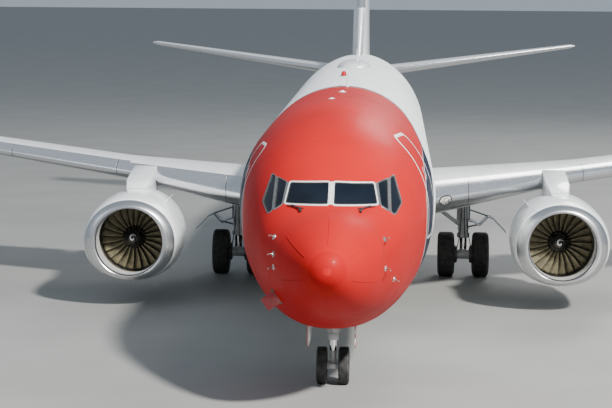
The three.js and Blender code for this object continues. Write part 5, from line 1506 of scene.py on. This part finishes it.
def fairing_laid(points):
    points = np.asarray(points, float)
    top = FAIRING_TOP + lift_at(points[:, 1] + MIDDLE)
    axis = np.column_stack([np.zeros(len(points)), points[:, 1], top])
    return axis + (points - axis) / np.maximum(fairing_reach(points), 1e-6)[:, None]


def fairing_normal(points):
    return facing_of(fairing_reach, points)


fairing_paint = Finish("fairing_paint", roughness=0.32, coat=0.3)
fairing_station = fairing_paint.y + MIDDLE
fairing_dirt = fairing_paint.noise(0.9, 6.0).fade(0.35, 0.75)
fairing_seam = abs(abs(fairing_paint.x) - 0.35)
fairing_seams = fairing_station.every(1.37, 0.0022).at_least(fairing_seam < 0.003)
fairing_seams = fairing_seams.at_least(fairing_paint.z.near(1.75, 0.003))
screws = ((fairing_station / 0.06).math("FRACT") - 0.5).math("POWER", 2) < 0.02
screws = screws * fairing_seam.near(0.03, 0.006)
# The pack air inlets are not cut: each is a near-black patch, painted shade where the opening would
# be.
pack_inlet_shade = door_outline(fairing_paint, fairing_station, abs(fairing_paint.x), 13.15, 0.75, 0.30,
                          0.16, 0.05)
fairing_colour = fairing_dirt.mix((0.60, 0.61, 0.62), (0.42, 0.41, 0.39))
fairing_colour = (pack_inlet_shade < 0).mix(fairing_colour, (0.05, 0.05, 0.05))
fairing_paint.paint((fairing_seams.at_least(screws) * 0.7).mix(fairing_colour, (0.10, 0.10, 0.10)),
                    fairing_dirt * 0.2 + 0.26, (1 - fairing_seams).bump(0.004, 0.6))
fairing_spokes = [((0, 0, 2.0 + lift_at(MIDDLE)), (math.cos(turn), 0, math.sin(turn)))
                  for turn in np.linspace(0.02, math.pi - 0.02, 72)]
finer("belly_fairing", fairing_spokes, fairing_laid, fairing_normal,
              (fairing_paint, fairing_paint), slack=0.12)


# Pylons: machined titanium and aluminium beams under smooth skins. The nose gear doors, ground
# power door and gear legs below take the same softening: each edge is broken a little.
def softened(node, finish, width=0.004, angle=35):
    """A copy of a CAD node with its edges broken and its round forms shaded round."""
    work = opened(node)
    bmesh.ops.dissolve_limit(work, angle_limit=0.004, verts=work.verts, edges=work.edges)
    thing = closed(work, node + "_finished", finish)
    bevel = thing.modifiers.new("edges", "BEVEL")
    bevel.width, bevel.segments, bevel.limit_method = width, 2, "ANGLE"
    bevel.angle_limit = math.radians(45)
    bevel.harden_normals = False
    applied(thing, thing.data.name)
    thing.data.shade_smooth()
    crisp(thing, angle)
    stands_for(thing, node)


pylon_paint = Finish("pylon_paint", roughness=0.25, coat=0.6)
pylon_station = pylon_paint.y + MIDDLE
pylon_dirt = pylon_paint.noise(1.6, 6.0).fade(0.4, 0.8)
pylon_seams = pylon_station.every(0.9, 0.003).at_least(pylon_paint.z.near(2.62, 0.004))
hot_end = pylon_station.fade(17.2, 18.2) * pylon_paint.z.fade(2.5, 2.35)
pylon_colour = (pylon_dirt * 0.5).mix(WHITE, (0.58, 0.58, 0.58))
pylon_colour = hot_end.mix(pylon_colour, (0.30, 0.27, 0.24))
pylon_paint.paint((pylon_seams * 0.7).mix(pylon_colour, (0.10, 0.10, 0.10)),
                  pylon_dirt * 0.15 + 0.2, (1 - pylon_seams).bump(0.003, 0.6))
for hand in ("left", "right"):
    softened(f"pylon_{hand}", pylon_paint, 0.05)


# Nose gear: a forged steel cylinder painted grey, with a folding drag brace, two steering
# cylinders, a chromed piston, torque links and a taxi light. The piston, links and axle steer.
gear_paint = Finish("gear_paint", roughness=0.34, coat=0.3)
gear_grime = gear_paint.noise(7.0, 6.0).fade(0.42, 0.75)
gear_oil = gear_paint.streaks(5.0, 14, 14, 1.5)
gear_colour = (gear_grime * 0.7).mix((0.62, 0.63, 0.64), (0.34, 0.33, 0.31))
gear_colour = (gear_oil.fade(0.58, 0.75) * 0.6).mix(gear_colour, (0.16, 0.14, 0.11))
# The main gear strut doors are painted dark blue-grey: painted shade, the shadow of the wing on
# them.
strut_door_shade = (abs(gear_paint.x) > 2.995) * (gear_paint.z > 1.1)
gear_colour = strut_door_shade.mix(gear_colour, (0.16, 0.19, 0.24))
gear_paint.paint(gear_colour, gear_grime * 0.3 + 0.28,
                 gear_paint.noise(50.0, 4.0).bump(0.001, 0.25))
chrome = Finish("piston_chrome", roughness=0.08, metallic=1.0)
wiped_ring = chrome.streaks(3.0, 10, 10, 60)
chrome.paint(wiped_ring.fade(0.4, 0.7).mix((0.82, 0.82, 0.83), (0.66, 0.65, 0.63)),
             wiped_ring * 0.14 + 0.04)
hose_black = Finish("hose_rubber", roughness=0.6)
braid = ((hose_black.z * 260).math("SINE") * (hose_black.x * 260).math("SINE")).fade(-0.4, 0.4)
hose_black.paint(braid.mix((0.022, 0.022, 0.024), (0.05, 0.05, 0.052)),
                 normal=braid.bump(0.001, 0.4))
NOSE_AT, NOSE_HUB = 4.0 - MIDDLE, 0.343
softened("nose_leg", gear_paint, 0.006, 50)
softened("nose_fork", gear_paint, 0.005, 50)


def collar(name, low, high, radius, place, finish, slot=None, body=None, grow=0.012):
    """A turned sleeve with rolled ends."""
    profile = [(0.004, low), (radius - grow, low), (radius, low + grow), (radius, high - grow),
               (radius - grow, high), (0.004, high)]
    return turned(name, profile, place, finish, slot, "Z", 36, body, angle=40)


foot = (0, NOSE_AT, 0)
collar("nose_piston", 0.62, 0.962, 0.0625, foot, chrome, "polished_metal", "nose_fork", 0.002)
collars = [collar("band", *sizes, foot, gear_paint) for sizes in
           ((0.955, 1.05, 0.126), (1.255, 1.33, 0.108), (1.50, 1.55, 0.104), (1.66, 1.72, 0.112))]
for side in (1, -1):
    outer = Vector((0.21 * side, NOSE_AT - 0.09, 1.175))
    inner = Vector((0.055 * side, NOSE_AT - 0.135, 1.175))
    collars.append(tube("band", [inner, inner.lerp(outer, 0.7), outer], 0.036, gear_paint, 20))
    collars.append(tube("band", [outer, outer + Vector((0.012 * side, 0, 0))], 0.046, gear_paint,
                        20))
joined("nose_leg_fittings", collars)
hoses = []
for side in (1, -1):
    route = [(0.055 * side, NOSE_AT + 0.105, 1.72), (0.085 * side, NOSE_AT + 0.125, 1.50),
             (0.10 * side, NOSE_AT + 0.13, 1.28), (0.075 * side, NOSE_AT + 0.128, 1.08),
             (0.06 * side, NOSE_AT + 0.11, 0.99)]
    hoses.append(tube("hose", bent(route), 0.012, hose_black))
joined("nose_leg_hoses", hoses)
light_at = (0, NOSE_AT - 0.16, 1.40)
shell = [(0.002, 0.07), (0.05, 0.055), (0.088, 0.02), (0.098, -0.03), (0.098, -0.045),
         (0.09, -0.048), (0.088, -0.03), (0.002, -0.02)]
turned("taxi_light_shell", shell, light_at, black_fitting, "dark_trim", sides=36)
lens = [(0.002, -0.044), (0.05, -0.042), (0.088, -0.032), (0.088, -0.022)]
turned("taxi_light_glass", lens, light_at, lens_clear, "glass", sides=36)
bolts = []
for low, back in ((0.42, 0.0), (0.66, 0.21), (0.905, 0.0)):
    pin = [Vector((side * 0.062, NOSE_AT + back, low)) for side in (-1, 1)]
    bolts.append(tube("pin", pin, 0.018, bright_probe, 14))
joined("nose_link_pins", bolts, "nose_fork")


# Nose gear doors and ground power door: pressed aluminium on piano hinges, body paint outside
# and white inside, the power door's red darkened as painted shade. The right gear door carries
# a warning stripe.
door_paint = Finish("gear_door_paint", roughness=0.25, coat=0.6)
outside_face = abs(door_paint.x) > 0.417
door_rib = door_paint.y.every(0.30, 0.05).at_least(door_paint.z.near(1.05, 0.012))
door_inner = (door_rib * 0.5).mix((0.60, 0.61, 0.60), (0.38, 0.38, 0.36))
stripe = ((door_paint.z + door_paint.y) / 0.16).math("FRACT") < 0.5
on_right = (door_paint.x > 0) * (door_paint.y < -16.90)
door_outer = (stripe * on_right).mix(RED, (0.75, 0.75, 0.74))
door_dirt = door_paint.noise(5.0, 5.0).fade(0.45, 0.8)
door_paint.paint(outside_face.mix(door_inner, door_outer), door_dirt * 0.25 + 0.2,
                 door_rib.bump(0.006, 0.4))
for hand in ("left", "right"):
    softened(f"nose_gear_door_{hand}", door_paint, 0.006)
# The power door's red is darker than the body's red: painted shade, for the shadow under the nose.
shaded_hatch_paint = mottled("power_door_paint", 0.25, (12.0, 4.0), (0.45, 0.8), (0.30, 0.008, 0.012),
                      (0.20, 0.006, 0.010), sheen=(0.2, 0.2), coat=0.6)
softened("external_power_door", shaded_hatch_paint, 0.003)


# Tyres and wheels: radial tyres on forged aluminium halves bolted together, brakes inside the
# main ones. Each is turned from its section; bolts, and dark discs of painted shade for the vent
# holes, are set out round the hub.
rubber = mottled("tyre_rubber", 0.75, (9.0, 6.0), (0.35, 0.75), (0.016, 0.016, 0.017),
                 (0.060, 0.057, 0.053), (0.002, 0.35), (0.15, 0.68), (45.0, 5.0))
wheel_paint = mottled("wheel_paint", 0.35, (10.0, 5.0), (0.35, 0.75), (0.66, 0.67, 0.67),
                      (0.36, 0.34, 0.31), (0.001, 0.3), (0.25, 0.3), coat=0.2)
# Vent holes are not cut: each is a shallow dark disc, painted shade where a hole would be.
hole_shade = Finish("vent_hole", roughness=0.9)
hole_shade.paint(hole_shade.noise(30.0).mix((0.01, 0.01, 0.01), (0.03, 0.03, 0.03)))
GROOVE = 0.010


def tyre_section(radius, rim, half):
    """The tyre's closed section: radius, distance across."""
    depth = radius - rim
    side = [(0.0, 0.60), (0.06, 0.74), (0.16, 0.90), (0.32, 0.985), (0.50, 1.0), (0.66, 0.985),
            (0.78, 0.94), (0.88, 0.87), (0.945, 0.79), (0.980, 0.70)]
    line = [(rim + high * depth, wide * half) for high, wide in side]
    tread = []
    for middle in (0.50, 0.17, -0.17, -0.50):
        middle *= half
        for offset, deep in ((0.5, 0), (0.42, 1), (-0.42, 1), (-0.5, 0)):
            drop = 0.006 * (middle / half) ** 2
            tread.append((radius - drop - deep * GROOVE, middle + offset * GROOVE))
    other = [(reach, -across) for reach, across in reversed(line)]
    return line + tread + other + [(rim + 0.012, -half * 0.3), (rim + 0.012, half * 0.3)]


bolt_rows = [[(math.cos(t) * size, math.sin(t) * size, high) for t in turns(6)]
             for size, high in ((0.013, -0.01), (0.013, 0.010), (0.010, 0.014))]
wheel_bolt = master_of(outward(shape("wheel_bolt", *loft(bolt_rows, caps=True), bright_probe,
                                     smooth=False)))
hole_rows = [[(math.cos(t) * size * 1.5, math.sin(t) * size, high) for t in turns(16)]
             for size, high in ((0.018, -0.002), (0.018, 0.0022), (0.012, 0.0024))]
wheel_hole = master_of(outward(shape("wheel_hole", *loft(hole_rows, caps=True), hole_shade,
                                     smooth=False)))


def wheel(name, place, radius, rim, half, side, body, bolts, vents):
    """One wheel, its tyre, bolts and discs of painted shade for vent holes. side is the way its
    outer face looks.
    """
    tyre = turned(f"{name}_tyre", tyre_section(radius, rim, half), place, rubber, "tyre", "X", 96,
                  body, True, 28)
    face = [(rim + 0.002, 0.62 * half), (rim + 0.010, 0.66 * half), (rim + 0.004, 0.70 * half),
            (rim * 0.955, 0.69 * half), (rim * 0.93, 0.60 * half), (rim * 0.90, 0.34 * half),
            (rim * 0.84, 0.24 * half), (rim * 0.62, 0.20 * half), (rim * 0.52, 0.28 * half),
            (rim * 0.42, 0.52 * half), (rim * 0.36, 0.60 * half), (rim * 0.30, 0.62 * half),
            (rim * 0.28, 0.70 * half), (0.004, 0.74 * half)]
    back = [(0.004, -0.60 * half), (rim * 0.50, -0.60 * half), (rim * 0.60, -0.30 * half),
            (rim * 0.88, -0.30 * half), (rim * 0.93, -0.66 * half), (rim + 0.006, -0.70 * half),
            (rim + 0.002, -0.62 * half)]
    profile = [(reach, across * side) for reach, across in face + back]
    turned(f"{name}_hub", profile, place, wheel_paint, "wheel_paint", "X", 72, body, True, 32)
    for label, master, count, start, reach, finish in (
            ("bolts", wheel_bolt, bolts, 0.0, rim * 0.70, bright_probe),
            ("vents", wheel_hole, vents, 0.5, rim * 0.80, hole_shade)):
        around = [(math.cos(turn), math.sin(turn)) for turn in turns(count, start)]
        spots = [Vector(place) + Vector((0.22 * half * side, aft * reach, up * reach))
                 for aft, up in around]
        runs = [(0, -up, aft) for aft, up in around]
        set_out(f"{name}_{label}", spots, [(side, 0, 0)] * count, runs, master, finish, body,
                rim / 0.285)
    return tyre


for side, hand in HANDS:
    tyre = wheel(f"nose_{hand}", (0.2 * side, NOSE_AT, NOSE_HUB), 0.343, 0.205, 0.098, side,
                 "nose_wheels", 8, 6)
    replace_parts(tyre, f"nose_tyre_{hand}")
axle_line = [Vector((across, NOSE_AT, NOSE_HUB)) for across in (-0.16, 0.16)]
nose_axle = tube("nose_axle", axle_line, 0.045, chrome, 24, "nose_wheels")
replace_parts(nose_axle, "nose_wheels")


# Main gear: each leg a forged steel cylinder with side and drag braces, a chromed piston, torque
# links, brake lines and a strut door; carbon brakes sit inside both wheels and don't turn.
MAIN_AT, MAIN_HUB, MAIN_SIDE = 19.6 - MIDDLE, 0.565, 2.86
brake_metal = mottled("brake_metal", 0.5, (14.0, 5.0), (0.35, 0.75), (0.16, 0.15, 0.14),
                      (0.06, 0.055, 0.05), (0.002, 0.4), metallic=0.6)
for side, hand in HANDS:
    softened(f"main_leg_{hand}", gear_paint, 0.007, 50)
    foot = (MAIN_SIDE * side, MAIN_AT, 0)
    collar(f"main_piston_{hand}", 0.70, 1.0, 0.0905, foot, chrome, "polished_metal", "airframe",
           0.002)
    bands = [collar("band", *sizes, foot, gear_paint) for sizes in
             ((0.995, 1.115, 0.158), (1.20, 1.27, 0.146), (1.45, 1.53, 0.150), (1.86, 1.92, 0.150))]
    for tall, back in ((0.66, 0.0), (0.86, 0.32), (1.08, 0.0)):
        pin = [Vector((foot[0] + across, MAIN_AT + back, tall)) for across in (-0.075, 0.075)]
        bands.append(tube("band", pin, 0.026, gear_paint, 16))
    joined(f"main_leg_fittings_{hand}", bands)
    hoses = []
    for offset in (-0.07, 0.02, 0.09):
        route = [(foot[0] + offset * spread, MAIN_AT - ahead, up) for spread, ahead, up in
                 ((1.0, 0.13, 2.02), (0.9, 0.165, 1.66), (1.1, 0.172, 1.26), (1.6, 0.20, 0.98),
                  (2.3, 0.15, 0.72))]
        hoses.append(tube("hose", bent(route), 0.011, hose_black))
    joined(f"main_leg_hoses_{hand}", hoses)
    brakes = []
    for row in (-1, 1):
        drum = [(0.06, 0.155), (0.19, 0.158), (0.222, 0.172), (0.226, 0.24), (0.215, 0.30),
                (0.06, 0.30)]
        drum = [(reach, row * across) for reach, across in drum]
        hub = (foot[0], MAIN_AT, MAIN_HUB)
        brakes.append(turned("brake", drum, hub, brake_metal, axis="X", body=None, hollow=True))
        for turn in turns(6, 0.5):
            middle = Vector((foot[0] + row * 0.15, MAIN_AT + math.cos(turn) * 0.16,
                             MAIN_HUB + math.sin(turn) * 0.16))
            brakes.append(tube("brake", [middle, middle + Vector((row * 0.03, 0, 0))], 0.033,
                               brake_metal, 16))
    joined(f"brakes_{hand}", brakes)
    for row, label in ((-1, "inner"), (1, "outer")):
        place = ((MAIN_SIDE + row * 0.435) * side, MAIN_AT, MAIN_HUB)
        tyre = wheel(f"main_{hand}_{label}", place, 0.565, 0.285, 0.21, row * side,
                     f"main_wheels_{hand}", 12, 9)
        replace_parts(tyre, f"main_tyre_{hand}_{label}")
    axle_line = [Vector((foot[0] + across, MAIN_AT, MAIN_HUB)) for across in (-0.36, 0.36)]
    axle = tube(f"main_axle_{hand}", axle_line, 0.072, chrome, 28, f"main_wheels_{hand}")
    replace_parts(axle, f"main_wheels_{hand}")
